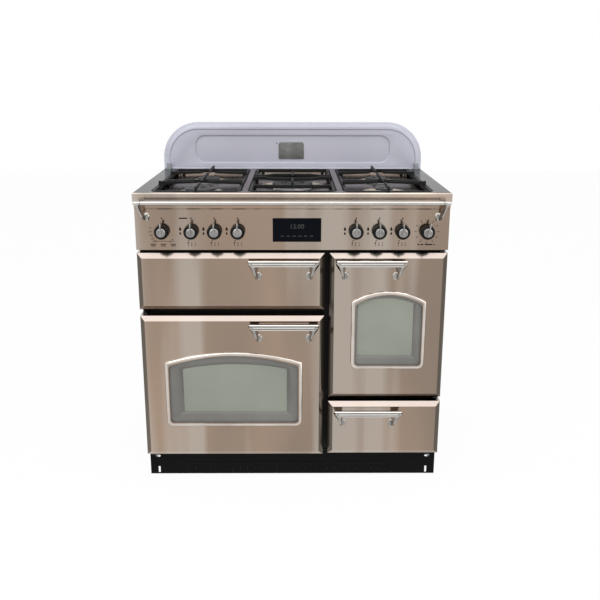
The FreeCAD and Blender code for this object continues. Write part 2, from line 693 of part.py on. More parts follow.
def gland_bore(y0, y1):
    """The way through for the mains lead."""
    start, end = (GLAND_X, y0, GLAND_HEIGHT), (GLAND_X, y1, GLAND_HEIGHT)
    return polygon_bar(GLAND_BORE / 2, start, end, GLAND_BORE_SIDES)


# ---------------------------------------------------------------- hob
def support_rect(x, width):
    """The footprint of a pan support as x0, x1, y0, y1."""
    y0 = FRONT + SUPPORT_SETBACK
    return x - width / 2, x + width / 2, y0, y0 + SUPPORT_DEPTH


def hob_top():
    """One pressed sheet: skirt, three sloped wells, a dish round each burner and a hole under it."""
    skirt = edged_box(0.0, FASCIA_EDGE)
    sheet = skirt.cut(edged_box(SHEET, FASCIA_EDGE - SHEET * (2 - math.sqrt(2))))
    outsides, insides = [], []
    for x, width in supports().values():
        outsides.append(well_back(x, width))
        insides.append(well(x, width))
    for burner in BURNERS:
        x, y, reach = burner.x, burner.y, burner.dish + SHEET
        outsides.append(box(x - reach, x + reach, y - reach, y + reach, DISH_FLOOR - SHEET, WELL_FLOOR))
        insides.append(
            faceted(
                [
                    ring((x, y, DISH_FLOOR), (0, 0, 1), burner.dish - DISH_SLOPE, CROWN_SIDES),
                    ring((x, y, WELL_FLOOR), (0, 0, 1), burner.dish, CROWN_SIDES),
                ]
            )
        )
        cup = cup_half(burner) + CUP_CLEARANCE
        insides.append(box(x - cup, x + cup, y - cup, y + cup, DISH_FLOOR - SHEET, DISH_FLOOR))
        x, y = electrode_place(burner)
        insides.append(electrode_bar(x, y, DISH_FLOOR - SHEET, DISH_FLOOR))
    return sheet.fuse(outsides).cut(insides).removeSplitter()


def edged_box(inset, edge):
    """The hob's outline, or its inside, bevelled along its front and side edges."""
    half, top = WIDTH / 2 - inset, HOB_HEIGHT - inset
    block = box(-half, half, FRONT + inset, REAR - inset, FASCIA_LOW, top)
    upper = [e for e in block.Edges if abs(e.CenterOfMass.z - top) < 0.01]
    return block.makeChamfer(edge, [e for e in upper if abs(e.CenterOfMass.y - REAR + inset) > 0.01])


def supports():
    """Each pan support's place across the hob and its width."""
    return {
        "left": (-SIDE_SUPPORT_X, SIDE_SUPPORT_WIDTH),
        "centre": (0.0, CENTRE_SUPPORT_WIDTH),
        "right": (SIDE_SUPPORT_X, SIDE_SUPPORT_WIDTH),
    }


def well(x, width):
    """A well's space, from its floor up its sloped walls to the hob's surface."""
    x0, x1, y0, y1 = support_rect(x, width)
    rings = []
    for z, grow in ((WELL_FLOOR, WELL_CLEARANCE - WELL_SLOPE), (HOB_HEIGHT, WELL_CLEARANCE)):
        radius = SUPPORT_CORNER_RADIUS + grow
        rings.append(rounded_corners(x0 - grow, x1 + grow, y0 - grow, y1 + grow, z, radius))
    return faceted(rings)


def rounded_corners(x0, x1, y0, y1, z, radius):
    """A level rectangle's outline with each corner rounded by a few chords."""
    left, right, front, rear = x0 + radius, x1 - radius, y0 + radius, y1 - radius
    points = []
    for quarter, (cx, cy) in enumerate(((right, front), (right, rear), (left, rear), (left, front))):
        for step in range(CORNER_CHORDS + 1):
            angle = math.radians(90 * (quarter - 1 + step / CORNER_CHORDS))
            points.append(V(cx + radius * math.cos(angle), cy + radius * math.sin(angle), z))
    return points


def well_back(x, width):
    """The outside of a well's pressing, seen from below."""
    x0, x1, y0, y1 = support_rect(x, width)
    rings = []
    for z, inset in ((WELL_FLOOR - SHEET, WELL_SLOPE), (HOB_HEIGHT - SHEET / 2, 0.0)):
        grow = WELL_CLEARANCE + SHEET - inset
        a, b, c, d = x0 - grow, x1 + grow, y0 - grow, y1 + grow
        rings.append([V(a, c, z), V(b, c, z), V(b, d, z), V(a, d, z)])
    return faceted(rings)


def cup_half(burner):
    """Half the side of a burner's square mixing cup."""
    return burner.radius * CUP_SHARE


def electrode_place(burner):
    """Where a burner's spark electrode stands: in front of its crown, turned to one side."""
    reach, angle = burner.radius + ELECTRODE_GAP, math.radians(ELECTRODE_ANGLE)
    return burner.x + reach * math.cos(angle), burner.y + reach * math.sin(angle)


def crown(burner):
    """A round crown with flame ports cut into its upper edge."""
    top, outer, half = DISH_FLOOR + CROWN_HEIGHT, burner.radius, PORT_WIDTH / 2
    solid = burner_disc(burner, outer, DISH_FLOOR, top)
    count = max(8, int(2 * math.pi * outer / PORT_PITCH))
    x0, x1 = burner.x + outer - CROWN_WALL, burner.x + 2 * outer
    port = box(x0, x1, burner.y - half, burner.y + half, top - PORT_DEPTH, top)
    return solid.cut([turned_about(port, burner, 360 / count * k) for k in range(count)])


def burner_disc(burner, radius, low, high):
    """A many-sided disc on a burner's axis."""
    return polygon_bar(radius, (burner.x, burner.y, low), (burner.x, burner.y, high), CROWN_SIDES)


def turned_about(shape, burner, angle):
    """A copy of a shape turned about a burner's upright axis."""
    copy = shape.copy()
    copy.rotate(V(burner.x, burner.y, 0), V(0, 0, 1), angle)
    return copy


def burner_body(burner):
    """A crown in the dish with its mixing cup below the hob; the wok burner has two crowns and a groove."""
    half = cup_half(burner)
    x, y = burner.x, burner.y
    cup = box(x - half, x + half, y - half, y + half, DISH_FLOOR - CUP_DEPTH, DISH_FLOOR)
    body = crown(burner)
    if burner.diameter == WOK_DIAMETER:
        low, high = DISH_FLOOR + SHEET, DISH_FLOOR + CROWN_HEIGHT
        groove = burner_disc(burner, WOK_INNER_DIAMETER / 2 + WOK_GROOVE, low, high)
        body = body.cut(groove.cut(burner_disc(burner, WOK_INNER_DIAMETER / 2, low, high)))
    return joined([cup, body])


def burner_cap(burner):
    """The enamelled cap, or the ring and core, that lie on a burner's crown."""
    low = DISH_FLOOR + CROWN_HEIGHT
    high = low + CAP_THICKNESS
    disc = burner_disc(burner, burner.radius - CAP_INSET, low, high)
    if burner.diameter < WOK_DIAMETER:
        return [disc]
    groove = burner_disc(burner, WOK_INNER_DIAMETER / 2 + WOK_GROOVE, low, high)
    return [disc.cut(groove), burner_disc(burner, WOK_INNER_DIAMETER / 2 - CAP_INSET, low, high)]


def electrode_bar(x, y, low, high):
    """A six-sided electrode, or the hole for one."""
    return polygon_bar(ELECTRODE_DIAMETER / 2, (x, y, low), (x, y, high), 6)


def electrodes():
    """The ceramic spark electrodes beside the burners."""
    low, high = DISH_FLOOR - CUP_DEPTH / 2, DISH_FLOOR + ELECTRODE_HEIGHT
    return [electrode_bar(*electrode_place(burner), low, high) for burner in BURNERS]


def finger(start, end):
    """An upright cast finger from the frame towards a burner: it rises from the bar to the pan's level."""
    bar_top, tip_top = HOB_HEIGHT + BAR_TOP_ABOVE_HOB, HOB_HEIGHT + FINGER_TOP_ABOVE_HOB
    run = V(end[0] - start[0], end[1] - start[1], 0)
    along, length = V(run.x, run.y, 0).normalize(), run.Length
    low, tip_low = bar_top - BAR_HEIGHT, tip_top - FINGER_DEPTH
    outline = [
        (0, low), (length * 0.35, low), (length - FINGER_TIP_SLOPE, tip_low),
        (length, tip_low + FINGER_DEPTH / 2), (length, tip_top), (length * 0.3, tip_top), (0, bar_top),
    ]
    across = V(-along.y, along.x, 0) * (FINGER_WIDTH / 2)
    corners = [V(start[0], start[1], 0) + along * d + V(0, 0, z) - across for d, z in outline]
    return prism(Part.makePolygon(corners + corners[:1]), across * 2)


def pan_support(name):
    """A casting: rounded frame, cross bars, feet on the well floor and rising fingers round each burner."""
    x, width = supports()[name]
    x0, x1, y0, y1 = support_rect(x, width)
    half, top = BAR_WIDTH / 2, HOB_HEIGHT + BAR_TOP_ABOVE_HOB
    low = top - BAR_HEIGHT
    outer = prism(level_wire(x0, x1, y0, y1, low, SUPPORT_CORNER_RADIUS), (0, 0, BAR_HEIGHT))
    pieces = [outer.cut(box(x0 + BAR_WIDTH, x1 - BAR_WIDTH, y0 + BAR_WIDTH, y1 - BAR_WIDTH, low, top))]
    left, right, front, rear = x0 + half, x1 - half, y0 + half, y1 - half
    own = [b for b in BURNERS if abs(b.x - x) < 1]
    if len(own) > 1:
        lines, gap = [front, (own[0].y + own[1].y) / 2, rear], SIDE_FINGER_GAP
    else:
        lines, gap = [own[0].y - width / 2 + half, own[0].y + width / 2 - half], WOK_FINGER_GAP
    for line in lines:
        if front < line < rear:
            pieces.append(box(left, right, line - half, line + half, low, top))
    for burner, (near, far) in zip(own, zip(lines, lines[1:])):
        starts = [(left, burner.y), (right, burner.y), (burner.x, near), (burner.x, far)]
        if len(own) == 1:
            starts += [(left, near), (right, near), (left, far), (right, far)]
        for start in starts:
            tip = V(start[0] - burner.x, start[1] - burner.y, 0).normalize() * gap
            pieces.append(finger(start, (burner.x + tip.x, burner.y + tip.y)))
    for side in (-1, 1):
        edge = left if side < 0 else right
        for y, inset in ((front, SUPPORT_FOOT), ((y0 + y1) / 2, 0.0), (rear, SUPPORT_FOOT)):
            fx = edge - side * inset
            pieces.append(box(fx - half, fx + half, y - half, y + half, WELL_FLOOR, top))
    return joined(pieces)


# ---------------------------------------------------------------- backguard
def backguard_form(grow, depth_from, depth_to):
    """The backguard's outline with large upper corners, shrunk or grown, between two planes."""
    half, z0, z1 = WIDTH / 2 + grow, HOB_HEIGHT, HOB_HEIGHT + BACKGUARD_HEIGHT + grow
    r = BACKGUARD_CORNER + grow
    y = depth_from
    lean = r * (1 - math.cos(math.radians(45)))
    wire = Part.Wire(
        [
            Part.LineSegment(V(-half, y, z0), V(half, y, z0)).toShape(),
            Part.LineSegment(V(half, y, z0), V(half, y, z1 - r)).toShape(),
            Part.Arc(V(half, y, z1 - r), V(half - lean, y, z1 - lean), V(half - r, y, z1)).toShape(),
            Part.LineSegment(V(half - r, y, z1), V(-half + r, y, z1)).toShape(),
            Part.Arc(V(-half + r, y, z1), V(-half + lean, y, z1 - lean), V(-half, y, z1 - r)).toShape(),
            Part.LineSegment(V(-half, y, z1 - r), V(-half, y, z0)).toShape(),
        ]
    )
    return prism(wire, (0, depth_to - depth_from, 0))


RECESS = Rect(
    RECESS_MARGIN - WIDTH / 2, WIDTH / 2 - RECESS_MARGIN, HOB_HEIGHT + RECESS_LOW, HOB_HEIGHT + RECESS_HIGH
)


def backguard():
    """An enamelled pressing: rounded rim, recessed field, hollow and open at the back."""
    y0 = REAR - BACKGUARD_DEPTH
    body = backguard_form(0, y0, REAR)
    rim = [
        e for e in body.Edges
        if abs(e.CenterOfMass.y - y0) < 0.01 and e.CenterOfMass.z > HOB_HEIGHT + 0.01
    ]
    body = body.makeChamfer(BACKGUARD_EDGE, rim)
    recess = slab(RECESS, y0, y0 + RECESS_DEPTH, RECESS_CORNER)
    hollow = backguard_form(-SHEET, y0 + SHEET, REAR)
    behind = slab(RECESS.grown(SHEET), y0, y0 + RECESS_DEPTH + SHEET, RECESS_CORNER + SHEET)
    hollow = hollow.cut(behind)
    hollow = hollow.cut(box(-WIDTH, WIDTH, y0, REAR, HOB_HEIGHT, HOB_HEIGHT + SHEET))
    shell = backguard_form(-BACKGUARD_EDGE, y0 + SHEET, REAR).common(hollow)
    return body.cut([recess, shell])


def badge_plate():
    """The bare plate on the backguard, its upper edge slightly arched."""
    y = REAR - BACKGUARD_DEPTH + RECESS_DEPTH
    z0 = HOB_HEIGHT + BADGE_LOW
    wire = arched_wire(BADGE_X, BADGE_WIDTH / 2, z0, z0 + BADGE_HEIGHT - BADGE_ARCH, z0 + BADGE_HEIGHT, y)
    return prism(wire, (0, -BADGE_THICKNESS, 0))


def backguard_brackets():
    """The two small blocks that clamp the backguard to the hob."""
    y1 = REAR - BACKGUARD_DEPTH
    inner = WIDTH / 2 - BRACKET_INSET
    blocks = []
    for side in (-1, 1):
        xs = sorted((side * inner, side * (inner - BRACKET_WIDTH)))
        blocks.append(box(xs[0], xs[1], y1 - BRACKET_DEPTH, y1, HOB_HEIGHT, HOB_HEIGHT + BRACKET_HEIGHT))
    return blocks


# ---------------------------------------------------------------- control panel
def control_panel():
    """A folded sheet: upper band, field set back under it, returns at the top, bottom and ends."""
    step = FASCIA_LOW - PANEL_STEP_DROP
    outline = [
        (FRONT, FASCIA_LOW), (FRONT, step), (FIELD_Y, step - PANEL_STEP), (FIELD_Y, PANEL_LOW),
        (FRAME_Y, PANEL_LOW), (FRAME_Y, FASCIA_LOW),
    ]
    inside = [
        (FRONT + SHEET, FASCIA_LOW - SHEET), (FRONT + SHEET, step - SHEET / 2),
        (FIELD_BACK_Y, step - PANEL_STEP - SHEET / 2), (FIELD_BACK_Y, PANEL_LOW + SHEET),
        (FRAME_Y, PANEL_LOW + SHEET), (FRAME_Y, FASCIA_LOW - SHEET),
    ]
    body = prism(Part.makePolygon([V(-BODY_X, *p) for p in outline + outline[:1]]), (2 * BODY_X, 0, 0))
    core = prism(Part.makePolygon([V(-INNER_X, *p) for p in inside + inside[:1]]), (2 * INNER_X, 0, 0))
    cuts = [core]
    for x in list(SWITCH_KNOBS.values()) + list(GAS_KNOBS.values()):
        cuts.append(slab(Rect(x, x, KNOB_Z, KNOB_Z).grown(SPINDLE_HOLE / 2), FRONT, FIELD_BACK_Y))
    cuts.append(slab(clock_rect().grown(-CLOCK_RIM), FRONT, FIELD_BACK_Y))
    return body.cut(cuts)


def clock_rect():
    """The clock's glass, seen from the front."""
    z0 = PANEL_LOW + CLOCK_LOW
    return Rect(CLOCK_X - CLOCK_WIDTH / 2, CLOCK_X + CLOCK_WIDTH / 2, z0, z0 + CLOCK_HEIGHT)


def clock_display():
    """The black glass on the panel and its module behind."""
    glass = slab(clock_rect(), FIELD_Y - CLOCK_PROUD, FIELD_Y)
    module = slab(clock_rect().grown(-CLOCK_RIM - TOUCH), FIELD_Y, FIELD_Y + CLOCK_BODY_DEPTH)
    return [glass, module]


def spindle_bore(x, y0, y1):
    """The hole that a spindle turns or slides in, its flats a running gap outside the spindle's corners."""
    radius = (SPINDLE_DIAMETER / 2 + RUNNING_GAP) / math.cos(math.pi / SPINDLE_SIDES)
    return polygon_bar(radius, (x, y0, KNOB_Z), (x, y1, KNOB_Z), SPINDLE_SIDES)


def knob(x, turn=0.0):
    """A many-sided grip with a bevelled front and a bored hub, and its metal cap with the pointer.

    It rests turned clockwise, seen from the front, by turn degrees.
    """
    r, along = KNOB_DIAMETER / 2, (0, -1, 0)
    face, bevel = KNOB_BACK_Y - KNOB_LENGTH, r - KNOB_BEVEL
    outline = ((KNOB_BACK_Y, r), (face + KNOB_BEVEL, r), (face, bevel))
    grip = faceted([ring((x, y, KNOB_Z), along, radius, KNOB_SIDES) for y, radius in outline])
    grip = grip.cut(spindle_bore(x, KNOB_BACK_Y, KNOB_BACK_Y - KNOB_BORE_DEPTH))
    front = face - KNOB_CAP_LENGTH
    cap = polygon_bar(KNOB_CAP_DIAMETER / 2, (x, face, KNOB_Z), (x, front, KNOB_Z), KNOB_SIDES)
    half, out = POINTER_WIDTH / 2, KNOB_CAP_LENGTH + POINTER_LENGTH
    side = [
        (0, -POINTER_TAIL), (0, bevel), (-KNOB_CAP_LENGTH, POINTER_REACH), (-out * 0.6, POINTER_REACH),
        (-out, POINTER_REACH - half), (-out, half - POINTER_TAIL),
    ]
    corners = [V(x - half, face + dy, KNOB_Z + dz) for dy, dz in side]
    fin = prism(Part.makePolygon(corners + corners[:1]), (POINTER_WIDTH, 0, 0))
    solids = [grip, joined([cap, fin])]
    for solid in solids:
        solid.rotate(V(x, 0, KNOB_Z), V(0, 1, 0), turn)
    return solids


def spindle(x):
    """A tap's spindle, from inside the tap to inside the knob."""
    end = TAP_Y + SPINDLE_INSIDE
    return polygon_bar(SPINDLE_DIAMETER / 2, (x, SPINDLE_TIP_Y, KNOB_Z), (x, end, KNOB_Z), SPINDLE_SIDES)


def oven_switches():
    """The three rotary switches on the panel's back, each with its own spindle."""
    parts = []
    for x in SWITCH_KNOBS.values():
        square = Rect(x, x, KNOB_Z, KNOB_Z).grown(SWITCH_SIZE / 2)
        case = slab(square, FIELD_BACK_Y, FIELD_BACK_Y + SWITCH_DEPTH)
        start, end = (x, SPINDLE_TIP_Y, KNOB_Z), (x, FIELD_BACK_Y, KNOB_Z)
        parts.append(joined([case, polygon_bar(SPINDLE_DIAMETER / 2, start, end, SPINDLE_SIDES)]))
    return parts


def gas_taps():
    """The manifold on its two feet, and five taps in front of it with bored noses."""
    half = MANIFOLD_SIZE / 2
    x0, x1 = min(GAS_KNOBS.values()) - MANIFOLD_OVERHANG, max(GAS_KNOBS.values()) + MANIFOLD_OVERHANG
    bar = box(x0, x1, MANIFOLD_Y, MANIFOLD_Y + MANIFOLD_SIZE, KNOB_Z - half, KNOB_Z + half)
    feet, floor, toe_y = [], PANEL_LOW + SHEET, FRAME_Y - MANIFOLD_SIZE
    for a, b in ((x0, x0 + MANIFOLD_FOOT_WIDTH), (x1 - MANIFOLD_FOOT_WIDTH, x1)):
        feet.append(box(a, b, MANIFOLD_Y, MANIFOLD_Y + SHEET, floor, KNOB_Z - half))
        feet.append(box(a, b, toe_y, MANIFOLD_Y + SHEET, floor, floor + SHEET))
    solids = [joined([bar] + feet)]
    for x in GAS_KNOBS.values():
        tap = slab(Rect(x, x, KNOB_Z, KNOB_Z).grown(TAP_SIZE / 2), TAP_Y, MANIFOLD_Y)
        solids.append(tap.cut(spindle_bore(x, TAP_Y, TAP_Y + SPINDLE_INSIDE + PUSH_TRAVEL + SHEET)))
    return solids


def gas_pipes():
    """The pipe from each tap to its burner's cup, and the feed from the inlet to the manifold."""
    solids = []
    level = DISH_FLOOR - CUP_DEPTH - PIPE_LEVEL
    for burner in BURNERS:
        x = GAS_KNOBS[burner.knob]
        y = MANIFOLD_Y - TAP_SIZE / 2
        route = [
            (x, y, KNOB_Z + TAP_SIZE / 2), (x, y, level), (burner.x, burner.y, level),
            (burner.x, burner.y, DISH_FLOOR - CUP_DEPTH),
        ]
        solids.append(tube(route, PIPE_DIAMETER / 2, PIPE_BEND))
    x0 = max(GAS_KNOBS.values()) + MANIFOLD_OVERHANG
    y0 = MANIFOLD_Y + MANIFOLD_SIZE / 2
    route = [(x0, y0, MANIFOLD_Z), (FEED_X, y0, MANIFOLD_Z), (FEED_X, REAR_PANEL_Y + SHEET, MANIFOLD_Z)]
    solids.append(tube(route, FEED_DIAMETER / 2, FEED_BEND))
    return solids


# ---------------------------------------------------------------- fronts
def upright_ring(rect, y):
    """A rectangle's corners in the plane Y = y."""
    return [V(rect.x0, y, rect.z0), V(rect.x1, y, rect.z0), V(rect.x1, y, rect.z1), V(rect.x0, y, rect.z1)]


def bevelled_pan(front):
    """A front's outer skin: flat field, mitred bevel down to the rim and returns to the back."""
    rim_y, field, inner = FACE_Y + FRONT_BEVEL_DEPTH, front.grown(-FRONT_BEVEL), front.grown(-SHEET)
    body = faceted(
        [upright_ring(field, FACE_Y), upright_ring(front, rim_y), upright_ring(front, FRONT_BACK_Y)]
    )
    lean = SHEET * FRONT_BEVEL_DEPTH / FRONT_BEVEL
    core = faceted(
        [
            upright_ring(field.grown(-SHEET / 2), FACE_Y + SHEET),
            upright_ring(inner, rim_y + lean),
            upright_ring(inner, FRONT_BACK_Y),
        ]
    )
    return body.cut(core)


def liner(front):
    """A front's inner pan, closing its back, with a flange inside the skin's returns."""
    outer = slab(front.grown(-SHEET), FRONT_BACK_Y - SHEET - LINER_FLANGE, FRONT_BACK_Y)
    inner = slab(front.grown(-2 * SHEET), FRONT_BACK_Y - SHEET - LINER_FLANGE, FRONT_BACK_Y - SHEET)
    return outer.cut(inner)


def bead(window):
    """The bright pressed bead round a window."""
    ring_solid = window.plate(FACE_Y - BEAD_PROUD, FACE_Y + SHEET, BEAD_WIDTH)
    edge = [e for e in ring_solid.Edges if e.BoundBox.YMax < FACE_Y - BEAD_PROUD + 0.01]
    return ring_solid.makeChamfer(BEAD_EDGE, edge).cut(window.plate(FACE_Y - BEAD_PROUD, FACE_Y + SHEET))


def pin_bar(start, end, gap=0.0):
    """A many-sided hinge pin, or the hole that it turns in when a gap is given."""
    radius = PIN_DIAMETER / 2
    if gap:
        radius = (radius + gap) / math.cos(math.pi / PIN_SIDES)
    return polygon_bar(radius, start, end, PIN_SIDES)


def hinge_holes(front, axis_x):
    """Holes for a side-hung door's pins through its skin's upper and lower returns."""
    return [
        pin_bar((axis_x, HINGE_Y, z - 2 * SHEET), (axis_x, HINGE_Y, z + 2 * SHEET), RUNNING_GAP)
        for z in (front.z0, front.z1)
    ]


def oven_door(front, window, axis_x):
    """Skin, liner and both panes of a side-hung oven door."""
    skin = bevelled_pan(front).cut([window.plate(FACE_Y, FACE_Y + SHEET)] + hinge_holes(front, axis_x))
    skin = joined([skin, bead(window)])
    inner_low = FRONT_BACK_Y - SHEET
    view = window.bounds().grown(-INNER_WINDOW_INSET)
    back = liner(front).cut(slab(view, inner_low, FRONT_BACK_Y))
    pane = slab(window.bounds().grown(GLASS_LAP), FACE_Y + SHEET, FACE_Y + SHEET + GLASS_THICKNESS)
    inner_pane = slab(view.grown(GLASS_LAP), inner_low - GLASS_THICKNESS, inner_low)
    return {"panel": [skin], "liner": [back], "glass": [pane, inner_pane]}


def arm_places():
    """Where the drop-down door's two hinge arms stand."""
    return (GRILL_FRONT.x0 + ARM_INSET, GRILL_FRONT.x1 - ARM_INSET)


def grill_door():
    """Skin and liner of the drop-down door, notched for its hinge arms; the liner carries the hinge ears."""
    half_slot, eye = ARM_THICKNESS / 2 + EAR_GAP, HINGE_EYE + EAR_GAP
    notches, ears = [], []
    for x in arm_places():
        x0, x1 = x - half_slot, x + half_slot
        notches.append(box(x0, x1, HINGE_Y - eye, FRONT_BACK_Y, GRILL_FRONT.z0, GRILL_AXIS_Z + eye))
        x0, x1 = x1, x1 + EAR_THICKNESS
        low, high = GRILL_AXIS_Z - HINGE_EYE, GRILL_AXIS_Z + HINGE_EYE
        ear = box(x0, x1, HINGE_Y - HINGE_EYE, FRONT_BACK_Y - SHEET, low, high)
        ears.append(ear.cut(pin_bar((x0, HINGE_Y, GRILL_AXIS_Z), (x1, HINGE_Y, GRILL_AXIS_Z), RUNNING_GAP)))
    back = joined([liner(GRILL_FRONT).cut(notches)] + ears)
    return {"panel": bevelled_pan(GRILL_FRONT).cut(notches), "liner": back}


def door_hinges():
    """The fixed hinge plates with their pins, and the drop-down door's arms."""
    solids = []
    for front, axis_x in ((MAIN_FRONT, MAIN_AXIS_X), (SIDE_FRONT, SIDE_AXIS_X)):
        for z, way in ((front.z0, -1), (front.z1, 1)):
            near = z + way * HINGE_PLATE_GAP
            zs = sorted((near, near + way * HINGE_PLATE))
            plate = box(axis_x - HINGE_EYE, axis_x + HINGE_EYE, HINGE_Y - HINGE_EYE, FRAME_Y, zs[0], zs[1])
            pin = pin_bar((axis_x, HINGE_Y, near), (axis_x, HINGE_Y, z - way * PIN_REACH))
            solids.append(joined([plate, pin]))
    half, reach = ARM_THICKNESS / 2, ARM_THICKNESS / 2 + EAR_GAP + EAR_THICKNESS
    eye = HINGE_EYE - 1
    for x in arm_places():
        arm = box(x - half, x + half, HINGE_Y - eye, FRAME_Y, GRILL_AXIS_Z - eye, GRILL_AXIS_Z + eye)
        pin = pin_bar((x - half, HINGE_Y, GRILL_AXIS_Z), (x + reach, HINGE_Y, GRILL_AXIS_Z))
        solids.append(joined([arm, pin]))
    return solids


def horn(x, wall_y, bar_y, bar_z, drop, cap_width):
    """A cast bracket: a toe on the wall sweeping out and up to a wide cap under and behind the bar."""
    toe, rise = HANDLE_TOE_HEIGHT / 2, HANDLE_CAP_HEIGHT
    reach = wall_y - bar_y
    low = bar_z - drop
    # each section: lower and upper edge as (distance from the wall, height), and its width
    sections = [
        ((0, low - toe), (0, low + toe), HANDLE_TOE_WIDTH),
        ((reach * 0.28, low - toe * 0.75), (reach * 0.16, low + toe * 1.25), HANDLE_TOE_WIDTH),
        ((reach * 0.62, low + drop * 0.16), (reach * 0.34, low + drop * 0.52), HANDLE_TOE_WIDTH * 1.15),
        ((reach * 0.92, low + drop * 0.5), (reach * 0.56, low + drop * 0.74), cap_width * 0.8),
        ((reach * 1.06, bar_z - rise * 0.3), (reach * 0.66, bar_z - rise * 0.05), cap_width),
        ((reach * 1.06, bar_z), (reach * 0.74, bar_z + rise * 0.25), cap_width),
    ]
    rings = []
    for (out0, z0), (out1, z1), width in sections:
        half = width / 2
        y0, y1 = wall_y - out0, wall_y - out1
        rings.append([V(x - half, y0, z0), V(x + half, y0, z0), V(x + half, y1, z1), V(x - half, y1, z1)])
    return faceted(rings)


def handle(front, opens_right):
    """A front's handle: an edge-lined bar and two cast brackets under it."""
    z = front.z1 - HANDLE_DROP
    y = FACE_Y - HANDLE_STANDOFF
    tip = front.x1 - HANDLE_EDGE_GAP if opens_right else front.x0 + HANDLE_EDGE_GAP + HANDLE_LENGTH
    start = tip - HANDLE_LENGTH
    half_h, half_d = HANDLE_BAR_HEIGHT / 2, HANDLE_BAR_DEPTH / 2
    edge = HANDLE_BAR_EDGE
    outline = [
        (-half_d, edge - half_h), (edge - half_d, -half_h), (half_d - edge, -half_h), (half_d, edge - half_h),
        (half_d, half_h - edge), (half_d - edge, half_h), (edge - half_d, half_h), (-half_d, half_h - edge),
    ]
    bar = faceted([[V(x, y + dy, z + dz) for dy, dz in outline] for x in (start, tip)])
    mid = start + HANDLE_LENGTH / 2
    solids = [bar]
    for side in (-1, 1):
        foot = horn(mid + side * HANDLE_FOOT_SPACING / 2, FACE_Y, y, z, HANDLE_FOOT_DROP, HANDLE_CAP_WIDTH)
        solids.append(foot.cut(bar))
    return solids


def towel_rail():
    """The long round rail across the front, on a cast bracket near each end."""
    r = RAIL_DIAMETER / 2
    y, z = FRONT - RAIL_REACH + r, HOB_HEIGHT - RAIL_BELOW_HOB
    rail = polygon_bar(r, (-RAIL_END_X, y, z), (RAIL_END_X, y, z), RAIL_SIDES)
    solids = [rail]
    for side in (-1, 1):
        foot = horn(side * (RAIL_END_X - RAIL_FOOT_INSET), FIELD_Y, y, z, RAIL_FOOT_DROP, RAIL_CAP_WIDTH)
        solids.append(foot.cut(rail))
    return solids


# ---------------------------------------------------------------- ovens
def cavity(mouth):
    """An enamelled oven box behind the frame, open in front, with a flange round its mouth."""
    y0, y1 = FRAME_BACK_Y, FRAME_BACK_Y + CAVITY_DEPTH
    outer = slab(mouth.grown(SHEET), y0, y1 + SHEET)
    flange = slab(mouth.grown(CAVITY_FLANGE), y0, y0 + SHEET)
    return joined([outer, flange]).cut(slab(mouth, y0, y1, CAVITY_RADIUS))


def door_seals():
    """The fibre seals on the frame round the three compartments."""
    rings = []
    for mouth in (GRILL_MOUTH, MAIN_MOUTH, SIDE_MOUTH):
        outer = slab(mouth.grown(SEAL_WIDTH), FRONT_BACK_Y + TOUCH, FRAME_Y)
        rings.append(outer.cut(slab(mouth, FRONT_BACK_Y, FRAME_Y)))
    return rings


def rack_heights(mouth):
    """The heights of an oven's shelf levels, from below."""
    return [mouth.z0 + (mouth.z1 - mouth.z0) * (k + 0.5) / (RACK_LEVELS + 0.5) for k in range(RACK_LEVELS)]


def rack(mouth, side):
    """A side rack of square wire: two uprights against the cavity's wall and a runner at each level."""
    wall = mouth.x0 if side < 0 else mouth.x1
    half, lift = RACK_WIRE / 2, RACK_STANDOFF - RACK_WIRE
    upright = sorted((wall, wall - side * lift))
    runner = sorted((wall - side * lift, wall - side * RACK_STANDOFF))
    y0, y1 = FRAME_BACK_Y + RACK_INSET, FRAME_BACK_Y + CAVITY_DEPTH - RACK_INSET
    heights = rack_heights(mouth)
    low, high = heights[0] - 2 * RACK_WIRE, heights[-1] + 2 * RACK_WIRE
    wires = [box(*upright, y - half, y + half, low, high) for y in (y0 + RACK_INSET, y1 - RACK_INSET)]
    wires += [box(*runner, y0, y1, z - half, z + half) for z in heights]
    return joined(wires)


def shelf(mouth, height):
    """A welded shelf of square wire lying on its two runners by four lugs."""
    y0 = FRAME_BACK_Y + RACK_INSET + RACK_WIRE
    y1 = y0 + SHELF_DEPTH
    z0, z1 = height + RACK_WIRE / 2, height + RACK_WIRE / 2 + SHELF_WIRE
    reach, inset = RACK_STANDOFF - RACK_WIRE + TOUCH, RACK_STANDOFF + TOUCH
    x0, x1 = mouth.x0 + inset, mouth.x1 - inset
    count = int((x1 - x0 - SHELF_WIRE) / SHELF_PITCH)
    step = (x1 - x0 - SHELF_WIRE) / count
    gaps = [
        box(x0 + SHELF_WIRE + step * k, x0 + step * (k + 1), y0 + SHELF_WIRE, y1 - SHELF_WIRE, z0, z1)
        for k in range(count)
    ]
    plate = box(x0, x1, y0, y1, z0, z1)
    lugs = [
        box(mouth.x0 + reach, mouth.x1 - reach, y, y + 4 * SHELF_WIRE, z0, z0 + SHELF_WIRE / 2)
        for y in (y0 + 3 * RACK_INSET, y1 - 4 * RACK_INSET)
    ]
    return joined([plate] + lugs).cut(gaps)


